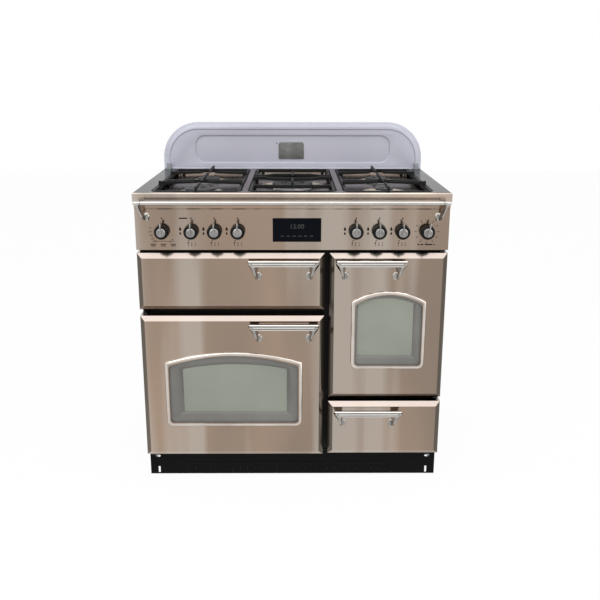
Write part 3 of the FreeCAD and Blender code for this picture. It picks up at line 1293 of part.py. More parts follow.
def serpentine(mouth, loops):
    """A tubular heating element under a compartment's ceiling, both ends in its rear wall."""
    z = mouth.z1 - ELEMENT_DROP
    back = FRAME_BACK_Y + CAVITY_DEPTH
    near, far = FRAME_BACK_Y + ELEMENT_MARGIN, back - ELEMENT_MARGIN
    x0, x1 = mouth.x0 + ELEMENT_MARGIN, mouth.x1 - ELEMENT_MARGIN
    count = 2 * loops
    step = (x1 - x0) / (count - 1)
    points = [(x0, back, z)]
    for k in range(count):
        x = x0 + step * k
        ends = (far, near) if k % 2 == 0 else (near, far)
        points += [(x, ends[0], z), (x, ends[1], z)] if 0 < k < count - 1 else []
        if k == 0:
            points.append((x, near, z))
        elif k == count - 1:
            points += [(x, near, z), (x, back, z)]
    bend = min(step / 2 * 0.98, ELEMENT_MARGIN / 2)
    return tube(points, ELEMENT_DIAMETER / 2, bend)


def grill_pan():
    """The enamelled pan on the grill compartment's floor, its walls leaning outwards."""
    m = GRILL_MOUTH.grown(-GRILL_PAN_MARGIN)
    y0 = FRAME_BACK_Y + GRILL_PAN_MARGIN
    y1 = y0 + GRILL_PAN_DEPTH
    z0, z1 = GRILL_MOUTH.z0, GRILL_MOUTH.z0 + GRILL_PAN_HEIGHT

    def outline(inset, z):
        x0, x1, near, far = m.x0 + inset, m.x1 - inset, y0 + inset, y1 - inset
        return [V(x0, near, z), V(x1, near, z), V(x1, far, z), V(x0, far, z)]

    outer = faceted([outline(GRILL_PAN_LEAN, z0), outline(0, z1)])
    return outer.cut(faceted([outline(GRILL_PAN_LEAN + SHEET, z0 + SHEET), outline(SHEET, z1)]))


# ---------------------------------------------------------------- drawer
def drawer_housing():
    """The sheet box that the drawer runs in, open in front."""
    m = DRAWER_MOUTH
    y0, y1 = FRAME_BACK_Y, FRAME_BACK_Y + DRAWER_HOUSING_DEPTH
    flange = slab(m.grown(CAVITY_FLANGE / 2), y0, y0 + SHEET)
    return joined([slab(m.grown(SHEET), y0, y1 + SHEET), flange]).cut(slab(m, y0, y1))


def drawer_box():
    """The drawer's open tray with a slide bar on each side."""
    m = DRAWER_MOUTH
    x0, x1 = m.x0 + DRAWER_BOX_GAP, m.x1 - DRAWER_BOX_GAP
    y0, y1 = FRONT_BACK_Y, FRONT_BACK_Y + DRAWER_BOX_DEPTH
    z0 = m.z0 + DRAWER_BOX_LOW
    z1 = z0 + DRAWER_BOX_HEIGHT
    inside = box(x0 + SHEET, x1 - SHEET, y0 + SHEET, y1 - SHEET, z0 + SHEET, z1)
    tray = box(x0, x1, y0, y1, z0, z1).cut(inside)
    bars = []
    reach = DRAWER_BOX_GAP - RUNNER_LIP - 2 * TOUCH
    half = RUNNER_HEIGHT / 2 - RUNNER_LIP - TOUCH
    for side in (-1, 1):
        wall = x0 if side < 0 else x1
        xs = sorted((wall, wall + side * reach))
        bars.append(box(xs[0], xs[1], y0 + FRAME_GAP, y1, runner_z() - half, runner_z() + half))
    return joined([tray] + bars)


def runner_z():
    """Height of the drawer runners' middle."""
    return DRAWER_MOUTH.z0 + DRAWER_BOX_LOW + DRAWER_BOX_HEIGHT / 2


def drawer_runners():
    """Two C-shaped channels on the housing's walls, open towards the drawer."""
    m = DRAWER_MOUTH
    y0, y1 = FRAME_BACK_Y, FRAME_BACK_Y + DRAWER_HOUSING_DEPTH
    z0, z1 = runner_z() - RUNNER_HEIGHT / 2, runner_z() + RUNNER_HEIGHT / 2
    reach = DRAWER_BOX_GAP - TOUCH
    solids = []
    for side in (-1, 1):
        wall = m.x0 if side < 0 else m.x1
        outer = sorted((wall, wall - side * reach))
        inner = sorted((wall - side * RUNNER_LIP, wall - side * reach))
        channel = box(outer[0], outer[1], y0, y1, z0, z1)
        solids.append(channel.cut(box(inner[0], inner[1], y0, y1, z0 + RUNNER_LIP, z1 - RUNNER_LIP)))
    return solids


def drawer_front():
    """The drawer's bevelled skin and its backing plate."""
    return [bevelled_pan(DRAWER_FRONT), liner(DRAWER_FRONT)]


# ---------------------------------------------------------------- all pieces
def pieces():
    """Every node's solids, by name."""
    main_door = oven_door(MAIN_FRONT, MAIN_WINDOW, MAIN_AXIS_X)
    side_door = oven_door(SIDE_FRONT, SIDE_WINDOW, SIDE_AXIS_X)
    grill = grill_door()
    nodes = {
        "base_tray": [base_tray()],
        "plinth": [plinth()],
        "levelling_feet": levelling_feet(),
        "side_panels": [side_panel(-1), side_panel(1)],
        "front_frame": [front_frame()],
        "rear_panel": [rear_panel()],
        "cable_gland": [cable_gland()],
        "hob_top": [hob_top()],
        "burner_bodies": [burner_body(b) for b in BURNERS],
        "burner_caps": [cap for b in BURNERS for cap in burner_cap(b)],
        "spark_electrodes": electrodes(),
        "backguard": [backguard()],
        "badge_plate": [badge_plate()],
        "backguard_brackets": backguard_brackets(),
        "control_panel": [control_panel()],
        "clock_display": clock_display(),
        "oven_switches": oven_switches(),
        "gas_taps": gas_taps(),
        "gas_pipes": gas_pipes() + [gas_inlet()],
        "towel_rail": towel_rail(),
        "grill_cavity": [cavity(GRILL_MOUTH)],
        "main_oven_cavity": [cavity(MAIN_MOUTH)],
        "side_oven_cavity": [cavity(SIDE_MOUTH)],
        "door_seals": door_seals(),
        "door_hinges": door_hinges(),
        "shelf_guides": [rack(m, side) for m in (MAIN_MOUTH, SIDE_MOUTH) for side in (-1, 1)],
        "oven_shelves": [
            shelf(mouth, rack_heights(mouth)[level - 1])
            for mouth in (MAIN_MOUTH, SIDE_MOUTH)
            for level in SHELF_LEVELS_USED
        ],
        "heating_elements": [
            serpentine(GRILL_MOUTH, GRILL_ELEMENT_LOOPS),
            serpentine(MAIN_MOUTH, OVEN_ELEMENT_LOOPS),
            serpentine(SIDE_MOUTH, OVEN_ELEMENT_LOOPS),
        ],
        "grill_pan": [grill_pan()],
        "drawer_housing": [drawer_housing()] + drawer_runners(),
        "drawer_box": [drawer_box()],
        "drawer_front": drawer_front(),
        "drawer_handle": handle(DRAWER_FRONT, False),
        "grill_door_panel": [grill["panel"]],
        "grill_door_liner": [grill["liner"]],
        "grill_door_handle": handle(GRILL_FRONT, True),
        "main_door_handle": handle(MAIN_FRONT, True),
        "side_door_handle": handle(SIDE_FRONT, False),
    }
    for piece, solids in main_door.items():
        nodes["main_door_" + piece] = solids
    for piece, solids in side_door.items():
        nodes["side_door_" + piece] = solids
    for name in supports():
        nodes["pan_support_" + name] = [pan_support(name)]
    for number, x in {**SWITCH_KNOBS, **GAS_KNOBS}.items():
        nodes[f"knob_{number}"] = knob(x, OVEN_KNOB_TURN if number == max(SWITCH_KNOBS) else 0.0)
    for number, x in GAS_KNOBS.items():
        nodes[f"tap_spindle_{number}"] = [spindle(x)]
    return nodes


def main():
    """Write one STEP file per node."""
    os.makedirs("parts", exist_ok=True)
    for name, solids in pieces().items():
        shape = solids[0] if len(solids) == 1 else Part.makeCompound(solids)
        shape.exportStep(f"parts/{name}.step")


main()
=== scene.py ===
"""Range cooker with double oven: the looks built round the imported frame.

Sizes are in metres in the frame's own axes: +X to the viewer's right, +Y from the front to the
rear, +Z up. The origin is the middle of the footprint, on the floor.
"""

from __future__ import annotations

import json
import logging
import math
from dataclasses import dataclass
from enum import Enum
from typing import Callable, Sequence

import bmesh
import bpy
from mathutils import Matrix, Vector

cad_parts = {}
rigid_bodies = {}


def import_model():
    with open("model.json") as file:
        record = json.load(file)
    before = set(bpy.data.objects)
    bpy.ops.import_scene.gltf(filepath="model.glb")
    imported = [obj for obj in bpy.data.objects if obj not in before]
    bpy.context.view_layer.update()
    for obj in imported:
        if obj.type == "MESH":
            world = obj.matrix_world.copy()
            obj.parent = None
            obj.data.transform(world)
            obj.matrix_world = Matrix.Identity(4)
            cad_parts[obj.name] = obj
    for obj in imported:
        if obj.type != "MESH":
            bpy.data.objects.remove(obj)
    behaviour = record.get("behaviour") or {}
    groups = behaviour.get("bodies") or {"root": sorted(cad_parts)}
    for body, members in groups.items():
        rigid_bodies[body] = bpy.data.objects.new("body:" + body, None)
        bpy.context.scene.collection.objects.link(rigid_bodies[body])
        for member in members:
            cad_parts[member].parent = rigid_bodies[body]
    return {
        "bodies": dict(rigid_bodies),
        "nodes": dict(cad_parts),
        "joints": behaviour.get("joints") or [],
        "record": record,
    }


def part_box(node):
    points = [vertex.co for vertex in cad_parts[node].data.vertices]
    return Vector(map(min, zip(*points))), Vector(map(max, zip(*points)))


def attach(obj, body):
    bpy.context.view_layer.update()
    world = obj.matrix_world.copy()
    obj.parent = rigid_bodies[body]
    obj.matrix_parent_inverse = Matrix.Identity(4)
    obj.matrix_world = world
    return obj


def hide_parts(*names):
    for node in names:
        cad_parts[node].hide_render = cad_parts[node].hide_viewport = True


LOG = logging.getLogger("range_cooker")

Piece = bpy.types.Object
Socket = bpy.types.NodeSocket
Flat = tuple[float, float]
Point = tuple[float, float, float]
Colour = tuple[int, int, int]
Test = Callable[[Vector, Vector], bool]

FRONTWARD = Vector((0.0, -1.0, 0.0))
UPWARD = Vector((0.0, 0.0, 1.0))
RIGHTWARD = Vector((1.0, 0.0, 0.0))

WELD_GAP = 2e-6
NEAR = 1e-4
SQUARE_ON = 0.99


# ------------------------------------------------------------------ the workbench
class Element(Enum):
    """What a selection in edit mode is made of."""

    CORNERS = "VERT"
    EDGES = "EDGE"
    FACES = "FACE"


def everything(*_: Vector) -> bool:
    """Passes every element."""
    return True


def put_down_all() -> None:
    """Deselects every object."""
    if bpy.context.object and bpy.context.object.mode != "OBJECT":
        bpy.ops.object.mode_set(mode="OBJECT")
    bpy.ops.object.select_all(action="DESELECT")


def take_up(*pieces: Piece) -> None:
    """Selects some objects alone; the last one becomes the active one.

    Args:
        pieces: The objects.
    """
    put_down_all()
    for piece in pieces:
        piece.select_set(True)
    bpy.context.view_layer.objects.active = pieces[-1]


def apply_place() -> None:
    """Applies the selected object's place, turn and size to its mesh."""
    bpy.ops.object.transform_apply(location=True, rotation=True, scale=True)


def shade_smooth(degrees: float) -> None:
    """Shades the selected object smooth across edges that bend by less than an angle."""
    bpy.ops.object.shade_smooth_by_angle(angle=math.radians(degrees))


class Bench:
    """One piece on the workbench in edit mode, shaped with Blender's own operators."""

    def __init__(self, name: str) -> None:
        """Takes up the primitive that was just added, names it and opens it.

        Args:
            name: The piece's name.
        """
        self.piece = bpy.context.object
        self.piece.name = self.piece.data.name = name
        apply_place()
        bpy.ops.object.mode_set(mode="EDIT")
        bpy.ops.mesh.select_all(action="SELECT")

    @classmethod
    def block(cls, name: str, low: Sequence[float], high: Sequence[float]) -> Bench:
        """Starts from a cube between two corners.

        Args:
            name: The piece's name.
            low: The corner with the smaller numbers.
            high: The corner with the larger numbers.

        Returns:
            The bench with the cube on it.
        """
        put_down_all()
        a, b = Vector(low), Vector(high)
        bpy.ops.mesh.primitive_cube_add(size=1.0, location=(a + b) / 2, scale=b - a)
        return cls(name)

    @classmethod
    def disc(cls, name: str, centre: Sequence[float], radius: float, facing: Vector, sides: int = 48) -> Bench:
        """Starts from a filled circle.

        Args:
            name: The piece's name.
            centre: The circle's centre.
            radius: Its radius.
            facing: The direction of its axis.
            sides: How many sides it has.

        Returns:
            The bench with the disc on it.
        """
        put_down_all()
        turn = UPWARD.rotation_difference(facing).to_euler()
        bpy.ops.mesh.primitive_circle_add(
            vertices=sides, radius=radius, fill_type="NGON", location=Vector(centre), rotation=turn
        )
        return cls(name)

    @classmethod
    def outline(cls, name: str, points: Sequence[Point]) -> Bench:
        """Draws a closed outline by extruding one corner from point to point, and fills it.

        Args:
            name: The piece's name.
            points: The outline's corners in order, the first not repeated.

        Returns:
            The bench with the filled outline on it, its face selected.
        """
        put_down_all()
        bpy.ops.mesh.primitive_plane_add(size=0.001, location=Vector(points[0]))
        bench = cls(name)
        mesh = bmesh.from_edit_mesh(bench.piece.data)
        mesh.verts.ensure_lookup_table()
        first = mesh.verts[0].co.copy()
        bench.corners(lambda at, _: (at - first).length > 1e-5)
        bpy.ops.mesh.delete(type="VERT")
        bench.corners().move(Vector(points[0]) - first)
        for here, there in zip(points, points[1:]):
            bench.extrude(Vector(there) - Vector(here))
        bpy.ops.mesh.select_all(action="SELECT")
        bpy.ops.mesh.edge_face_add()
        return bench.faces()

    def _pick(self, element: Element, test: Test) -> Bench:
        """Selects the elements that pass a test, and nothing else.

        Args:
            element: Corners, edges or faces.
            test: Told an element's middle and its normal, or an edge's direction.

        Returns:
            The same bench.
        """
        bpy.ops.mesh.select_mode(type=element.value)
        bpy.ops.mesh.select_all(action="DESELECT")
        mesh = bmesh.from_edit_mesh(self.piece.data)
        if element is Element.FACES:
            for face in mesh.faces:
                face.select_set(test(face.calc_center_median(), face.normal))
        elif element is Element.EDGES:
            for edge in mesh.edges:
                a, b = (corner.co for corner in edge.verts)
                edge.select_set(test((a + b) / 2, (b - a).normalized()))
        else:
            for corner in mesh.verts:
                corner.select_set(test(corner.co, corner.normal))
        mesh.select_flush_mode()
        bmesh.update_edit_mesh(self.piece.data)
        return self

    def corners(self, test: Test = everything) -> Bench:
        """Selects the corners that pass a test of their place."""
        return self._pick(Element.CORNERS, test)

    def edges(self, test: Test) -> Bench:
        """Selects the edges that pass a test of their middle and direction."""
        return self._pick(Element.EDGES, test)

    def faces(self, test: Test = everything) -> Bench:
        """Selects the faces that pass a test of their middle and normal."""
        return self._pick(Element.FACES, test)

    def extrude(self, by: Sequence[float]) -> Bench:
        """Extrudes what is selected along a direction."""
        bpy.ops.mesh.extrude_region_move(TRANSFORM_OT_translate={"value": tuple(by)})
        return self

    def move(self, by: Sequence[float]) -> Bench:
        """Moves what is selected."""
        bpy.ops.transform.translate(value=tuple(by))
        return self

    def scale(self, by: Sequence[float], about: Sequence[float]) -> Bench:
        """Scales what is selected about a point."""
        bpy.ops.transform.resize(value=tuple(by), center_override=tuple(about))
        return self

    def inset(self, width: float, depth: float = 0.0) -> Bench:
        """Insets the selected faces, and sinks them where a depth is given."""
        bpy.ops.mesh.inset(thickness=width, depth=depth, use_even_offset=True)
        return self

    def round_edges(self, width: float, segments: int = 3) -> Bench:
        """Bevels the selected edges."""
        bpy.ops.mesh.bevel(offset=width, segments=segments, affect="EDGES", clamp_overlap=True)
        return self

    def cut_faces(self) -> Bench:
        """Deletes the selected faces."""
        bpy.ops.mesh.delete(type="FACE")
        return self

    def bore(self, centre: Vector, radius: float, slack: float) -> Bench:
        """Opens a round solid from end to end, whose last face is selected, and walls the bore.

        Args:
            centre: A point on the upright axis.
            radius: The bore's radius.
            slack: How far a rim's chords may lie inside that radius.

        Returns:
            The same bench.
        """
        self.cut_faces()
        self.faces(lambda at, way: way.z < -0.9 and (at - centre).xy.length < radius * 0.5).cut_faces()
        self.edges(lambda at, way: abs(way.z) < 0.1 and abs((at - centre).xy.length - radius) < slack)
        bpy.ops.mesh.bridge_edge_loops()
        return self

    def fit_end(self, along: Vector, section: Section) -> Bench:
        """Shapes the selected end of a limb to a section's half sizes and lean.

        Args:
            along: The direction that the limb's first plate faces.
            section: The cross-section.

        Returns:
            The same bench.
        """
        across = Vector((along.y, -along.x, 0.0))
        across = across.normalized() if across.length > 0.1 else RIGHTWARD
        up = across.cross(along) * -1.0
        if section.lean:
            up = Matrix.Rotation(section.lean, 3, across) @ up
        mesh = bmesh.from_edit_mesh(self.piece.data)
        centre = Vector(section.centre)
        ends = [corner for corner in mesh.verts if corner.select]
        mid = sum((corner.co for corner in ends), Vector()) / len(ends)
        order = sorted(ends, key=lambda corner: math.atan2((corner.co - mid).dot(up), (corner.co - mid).dot(across)))
        for corner, (side, rise) in zip(order, ((-1, -1), (1, -1), (1, 1), (-1, 1))):
            width = section.half[0] * (section.ridge if rise > 0 else 1.0)
            corner.co = centre + across * (side * width) + up * (rise * section.half[1])
        bmesh.update_edit_mesh(self.piece.data)
        return self

    def done(self, smooth: float = 35.0, closed: bool = True) -> Piece:
        """Merges doubles, faces a closed shell outwards and closes edit mode.

        Args:
            smooth: Edges that bend by less than this many degrees are shaded smooth.
            closed: Whether the shell is closed, so that its faces can be turned outwards.

        Returns:
            The finished piece.
        """
        bpy.ops.mesh.select_all(action="SELECT")
        bpy.ops.mesh.remove_doubles(threshold=WELD_GAP)
        if closed:
            bpy.ops.mesh.normals_make_consistent(inside=False)
        bpy.ops.object.mode_set(mode="OBJECT")
        shade_smooth(smooth)
        return self.piece


def turned(name: str, centre: Sequence[float], facing: Vector, profile: Sequence[Flat], sides: int = 48) -> Bench:
    """Builds a round solid by extruding a disc along its axis and scaling each new ring.

    Args:
        name: The piece's name.
        centre: The point that heights are counted from.
        facing: The axis.
        profile: Pairs of radius and height, from one end to the other.
        sides: How many sides the solid has.

    Returns:
        The bench with the last face selected.
    """
    at = Vector(centre)
    radius, height = profile[0]
    bench = Bench.disc(name, at + facing * height, radius, facing, sides)
    for next_radius, next_height in profile[1:]:
        bench.extrude(facing * (next_height - height))
        share = next_radius / radius
        if abs(share - 1) > 1e-6:
            bench.scale((share, share, share), at + facing * next_height)
        radius, height = next_radius, next_height
    return bench


@dataclass(frozen=True)
class Section:
    """One cross-section of a limb: its centre, its half sizes, its turn about X and its outer edge's share."""

    centre: Point
    half: Flat
    lean: float = 0.0
    ridge: float = 1.0


def limb(name: str, along: Vector, sections: Sequence[Section]) -> Bench:
    """Grows a limb from a square plate by extruding it and fitting each new end to the next section.

    Args:
        name: The piece's name.
        along: The direction that the first plate faces.
        sections: The limb's sections; half sizes are across the run and upright, or across and along it.

    Returns:
        The bench with the last face selected.
    """
    bench = Bench.disc(name, sections[0].centre, math.sqrt(2.0), along, 4)
    bpy.ops.mesh.select_all(action="SELECT")
    bench.fit_end(along, sections[0])
    for here, there in zip(sections, sections[1:]):
        bench.extrude(Vector(there.centre) - Vector(here.centre)).fit_end(along, there)
    return bench


def modified(piece: Piece, kind: str, **settings: object) -> Piece:
    """Adds a modifier with the given settings and applies it.

    Args:
        piece: The piece to finish.
        kind: The modifier's type.
        settings: Its settings by name.

    Returns:
        The same piece.
    """
    take_up(piece)
    bpy.ops.object.modifier_add(type=kind)
    modifier = piece.modifiers[-1]
    for key, value in settings.items():
        setattr(modifier, key, value)
    bpy.ops.object.modifier_apply(modifier=modifier.name)
    return piece


def carved(piece: Piece, cutter: Piece) -> Piece:
    """Cuts one closed piece out of another and throws the cutter away.

    Args:
        piece: The piece to cut.
        cutter: The shape to take out of it.

    Returns:
        The cut piece.
    """
    modified(piece, "BOOLEAN", operation="DIFFERENCE", solver="EXACT", object=cutter)
    bpy.data.objects.remove(cutter)
    return piece


def edged(piece: Piece, width: float, segments: int = 2, angle: float = 30.0, smooth: float = 0.0) -> Piece:
    """Rounds every sharp edge.

    Args:
        piece: The piece to finish.
        width: Width of the rounding.
        segments: How many faces it has.
        angle: An edge that bends by more than this many degrees is sharp.
        smooth: The angle that the piece is then shaded smooth under, or 0 to leave its shading.

    Returns:
        The same piece.
    """
    modified(piece, "BEVEL", width=width, segments=segments, limit_method="ANGLE", angle_limit=math.radians(angle))
    if smooth:
        shade_smooth(smooth)
    return piece


def copied(piece: Piece, name: str, by: Sequence[float]) -> Piece:
    """Copies a finished piece with a mesh of its own.

    Args:
        piece: The piece to copy.
        name: The copy's name.
        by: How far the copy is moved.

    Returns:
        The copy.
    """
    take_up(piece)
    bpy.ops.object.duplicate(linked=False)
    copy = bpy.context.object
    copy.name = copy.data.name = name
    copy.location = Vector(by)
    apply_place()
    return copy


def assembled(name: str, pieces: Sequence[Piece]) -> Piece:
    """Joins pieces of one finish into one object.

    Args:
        name: The object's name.
        pieces: The pieces, two or more.

    Returns:
        The object.
    """
    take_up(*pieces)
    bpy.ops.object.join()
    whole = bpy.context.object
    whole.name = whole.data.name = name
    return whole


# ------------------------------------------------------------------ outlines
def middle(low: Vector, high: Vector) -> Vector:
    """Gives the point halfway between two corners."""
    return (low + high) / 2


def rounded_outline(low: Flat, high: Flat, radii: Sequence[float], chords: int = 8) -> list[Flat]:
    """Draws a rectangle with rounded corners as a flat outline.

    Args:
        low: Its lower left corner.
        high: Its upper right corner.
        radii: Corner radii from the lower left round to the right, upwards and back.
        chords: How many chords each corner has.

    Returns:
        The outline's points, anticlockwise.
    """
    corners = ((low[0], low[1], 180), (high[0], low[1], 270), (high[0], high[1], 0), (low[0], high[1], 90))
    points = []
    for (u, v, start), radius in zip(corners, radii):
        if radius <= 0:
            points.append((u, v))
            continue
        centre_u = u + radius if u == low[0] else u - radius
        centre_v = v + radius if v == low[1] else v - radius
        for step in range(chords + 1):
            angle = math.radians(start + 90 * step / chords)
            points.append((centre_u + radius * math.cos(angle), centre_v + radius * math.sin(angle)))
    return points


def arched_outline(low: Flat, high: Flat, rise: float, radius: float, chords: int = 20) -> list[Flat]:
    """Draws a window's outline: square sides, rounded lower corners and a shallow arch on top.

    Args:
        low: Its lower left corner.
        high: Its right side and the top of its arch.
        rise: The arch's height.
        radius: Radius of the lower corners.
        chords: How many chords the arch has.

    Returns:
        The outline's points, anticlockwise.
    """
    half = (high[0] - low[0]) / 2
    mid = (high[0] + low[0]) / 2
    sweep = (half * half + rise * rise) / (2 * rise)
    points = rounded_outline(low, (high[0], high[1] - rise), (radius, radius, 0.0, 0.0), 4)[:-2]
    reach = math.asin(half / sweep)
    for step in range(chords + 1):
        angle = reach * (1 - 2 * step / chords)
        points.append((mid + sweep * math.sin(angle), high[1] - sweep + sweep * math.cos(angle)))
    return points


def upright(points: Sequence[Flat], y: float) -> list[Point]:
    """Stands a flat outline up in a plane that faces the front."""
    return [(u, y, v) for u, v in points]


def level(points: Sequence[Flat], z: float) -> list[Point]:
    """Lays a flat outline in a level plane."""
    return [(u, v, z) for u, v in points]


# ------------------------------------------------------------------ finishes
def linear(colour: Colour) -> tuple[float, ...]:
    """Gives a colour, 0 to 255 a channel, as the linear values that shaders take."""
    shares = [value / 255 for value in colour]
    return tuple(share / 12.92 if share <= 0.04045 else ((share + 0.055) / 1.055) ** 2.4 for share in shares)


class Effect(Enum):
    """A shared effect whose mask lets a second colour through, by its group's name; four of them paint light or
    shade into the colour, and edge wear also paints a highlight on chrome.
    """

    # painted reflection: soft upright streaks lighter than the steel
    BANDS = "Bands"
    # painted shade: darker faces that look left or right
    FOLDS = "Folds"
    # painted highlight: paler sloping faces that look up
    CRESTS = "Crests"
    # painted reflection: dark level ends of the hob
    MARGINS = "Margins"
    FLECKS = "Flecks"
    # rubbed wear, and on chrome a painted highlight along the edges
    WEAR = "EdgeWear"


@dataclass(frozen=True)
class Tint:
    """A second colour that an effect's mask lets through.

    Attributes:
        effect: The effect that makes the mask.
        colour: The colour.
        amount: How much of it shows, or the share of the surface that flecks cover.
        detail: The scale of flecks, or the share of edge wear and painted edge highlight that noise doesn't break
            up.
    """

    effect: Effect
    colour: Colour
    amount: float
    detail: float = 0.0


@dataclass(frozen=True)
class Finish:
    """One surface of the cooker and how it varies.

    Attributes:
        name: The material's name.
        slot: The record's material slot; not used.
        base: Main colour.
        shade: Colour that the base drifts towards in soft patches.
        metallic: Metal or not.
        roughness: Mean roughness.
        coat: Weight of a clear coat.
        shine: Level of the plain reflection; 0.5 is usual.
        low_glare: How much a surface seen at a low angle mirrors, 1 for the most.
        alpha: Opacity.
        grain: How much finer the grain is along X, Y and Z.
        grain_scale: The grain's scale.
        grain_gloss: How much the grain changes the roughness.
        relief: Height of the grain in metres.
        patch: Scale of the soft patches.
        patch_stretch: How the patches are drawn out along X, Y and Z.
        smudge: How much handling changes the roughness.
        tints: Second colours, each laid over the one before: wear and flecks, and painted light such as reflection
            bands, side shade and top highlights.
    """

    name: str
    slot: str
    base: Colour
    shade: Colour
    metallic: float = 0.0
    roughness: float = 0.4
    coat: float = 0.0
    shine: float = 0.5
    low_glare: float = 1.0
    alpha: float = 1.0
    grain: Point = (1.0, 1.0, 1.0)
    grain_scale: float = 900.0
    grain_gloss: float = 0.08
    relief: float = 0.0
    patch: float = 5.0
    patch_stretch: Point = (1.0, 1.0, 1.0)
    smudge: float = 0.06
    tints: tuple[Tint, ...] = ()


def worn(colour: Colour, amount: float, evenness: float = 0.0) -> Tint:
    """Gives the tint of rubbed edges, which on chrome is a painted highlight along the edges."""
    return Tint(Effect.WEAR, colour, amount, evenness)


LEVEL_GRAIN = (0.02, 1.0, 1.0)

# Door steel tints: lighter upright bands are a painted reflection, faces that look left or right carry painted
# shade, and sloping faces that look up a painted highlight.
DOOR_STEEL = Finish(
    "door_steel", "stainless", (168, 145, 127), (141, 126, 113), metallic=1.0, roughness=0.15,
    grain=LEVEL_GRAIN, grain_scale=1500.0, grain_gloss=0.02, patch=3.4, patch_stretch=(1.0, 1.0, 0.3), smudge=0.03,
    tints=(
        Tint(Effect.BANDS, (190, 181, 171), 0.6), Tint(Effect.FOLDS, (84, 78, 70), 0.9),
        Tint(Effect.CRESTS, (160, 149, 143), 0.85),
    ),
)
# Hob steel tints: lighter upright bands are a painted reflection, faces that look left or right carry painted shade,
# and the level ends a dark painted reflection.
HOB_STEEL = Finish(
    "hob_steel", "stainless", (194, 175, 160), (164, 154, 146), metallic=1.0, roughness=0.16, low_glare=0.6,
    grain=LEVEL_GRAIN, grain_scale=1500.0, grain_gloss=0.02, patch=4.2, smudge=0.03,
    tints=(
        Tint(Effect.BANDS, (196, 184, 172), 0.7), Tint(Effect.FOLDS, (96, 94, 90), 0.7),
        Tint(Effect.MARGINS, (74, 79, 76), 1.0),
    ),
)
BRIGHT_STEEL = Finish(
    "bright_steel", "stainless", (214, 206, 198), (190, 182, 174), metallic=1.0, roughness=0.1,
    grain_gloss=0.03, patch=12.0, smudge=0.03, tints=(worn((244, 240, 236), 0.4),),
)
SIDE_ENAMEL = Finish(
    "side_enamel", "enamelled_sides", (84, 90, 87), (72, 78, 75), roughness=0.38, coat=0.2, shine=0.35,
    grain_scale=1400.0, relief=0.00002, tints=(worn((120, 124, 120), 0.3),),
)
# The front frame's enamel is made near-black, darker than the sides, as painted shade in the gaps between the doors
# and drawer.
GAP_SHADE_FRAME = Finish(
    "gap_shade_frame", "enamelled_sides", (17, 17, 18), (11, 11, 12), roughness=0.5, shine=0.25,
    grain_scale=1200.0, relief=0.00002, tints=(worn((60, 60, 60), 0.3),),
)
GALVANISED = Finish(
    "galvanised", "galvanised", (168, 171, 174), (150, 154, 158), metallic=1.0, roughness=0.42,
    grain_scale=140.0, grain_gloss=0.12, patch=70.0,
)
DARK_ZINC = Finish(
    "dark_zinc", "galvanised", (48, 48, 50), (34, 34, 36), metallic=1.0, roughness=0.45,
    grain_scale=300.0, grain_gloss=0.15, patch=40.0, tints=(worn((110, 110, 112), 0.4),),
)
BLACK_PAINT = Finish(
    "black_paint", "black_paint", (8, 8, 9), (5, 5, 6), roughness=0.42, shine=0.1, grain_scale=1500.0,
    relief=0.00002, tints=(Tint(Effect.FLECKS, (60, 60, 60), 0.01, 900.0), worn((66, 66, 68), 0.35)),
)
BLACK_PLASTIC = Finish(
    "black_plastic", "black_plastic", (10, 10, 10), (6, 6, 6), roughness=0.3, shine=0.16,
    grain_scale=1800.0, relief=0.00001, smudge=0.12,
)
RUBBER = Finish("rubber", "galvanised", (28, 28, 29), (19, 19, 20), roughness=0.7, shine=0.3, relief=0.00005)
CAST_IRON = Finish(
    "cast_iron", "cast_iron", (13, 14, 14), (8, 8, 9), roughness=0.5, shine=0.22, grain_scale=520.0,
    grain_gloss=0.18, relief=0.00006, patch=30.0,
    tints=(Tint(Effect.FLECKS, (40, 40, 42), 0.02, 900.0), worn((52, 52, 54), 0.35)),
)
BURNER_ALLOY = Finish(
    "burner_alloy", "burner_alloy", (192, 192, 194), (160, 160, 163), metallic=1.0, roughness=0.38,
    grain_scale=420.0, grain_gloss=0.15, relief=0.00004, patch=40.0, tints=(worn((222, 222, 224), 0.4),),
)
BURNER_ENAMEL = Finish(
    "burner_enamel", "burner_enamel", (24, 24, 26), (15, 15, 16), roughness=0.36, shine=0.35,
    grain_scale=700.0, relief=0.00005, patch=35.0, tints=(worn((90, 88, 86), 0.5),),
)
CERAMIC = Finish("ceramic", "ceramic", (232, 229, 220), (214, 208, 196), roughness=0.25, coat=0.5, patch=60.0)
WHITE_ENAMEL = Finish(
    "white_enamel", "enamel", (186, 187, 199), (179, 180, 193), roughness=0.2, coat=0.3,
    grain_scale=160.0, grain_gloss=0.05, relief=0.00002, patch=4.0, tints=(worn((222, 224, 234), 0.5),),
)
# Its near-white rounded edges are a painted highlight standing in for the chrome's light reflection lines.
CHROME = Finish(
    "chrome", "chrome", (158, 154, 150), (132, 129, 125), metallic=1.0, roughness=0.08,
    grain_gloss=0.02, patch=10.0, smudge=0.03, tints=(worn((250, 246, 242), 1.0, 0.9),),
)
CAP_CHROME = Finish(
    "cap_chrome", "chrome", (158, 156, 154), (126, 124, 122), metallic=1.0, roughness=0.14,
    grain_gloss=0.03, patch=60.0, smudge=0.05, tints=(worn((244, 242, 240), 0.5),),
)
BADGE_CHROME = Finish(
    "badge_chrome", "chrome", (116, 119, 116), (146, 147, 144), metallic=1.0, roughness=0.24,
    grain_gloss=0.03, patch=26.0, smudge=0.05, tints=(worn((214, 214, 212), 0.5),),
)
DISPLAY_GLASS = Finish(
    "display_glass", "display_glass", (7, 9, 18), (4, 5, 11), roughness=0.1, shine=0.06,
    grain_scale=500.0, grain_gloss=0.03, smudge=0.1,
)
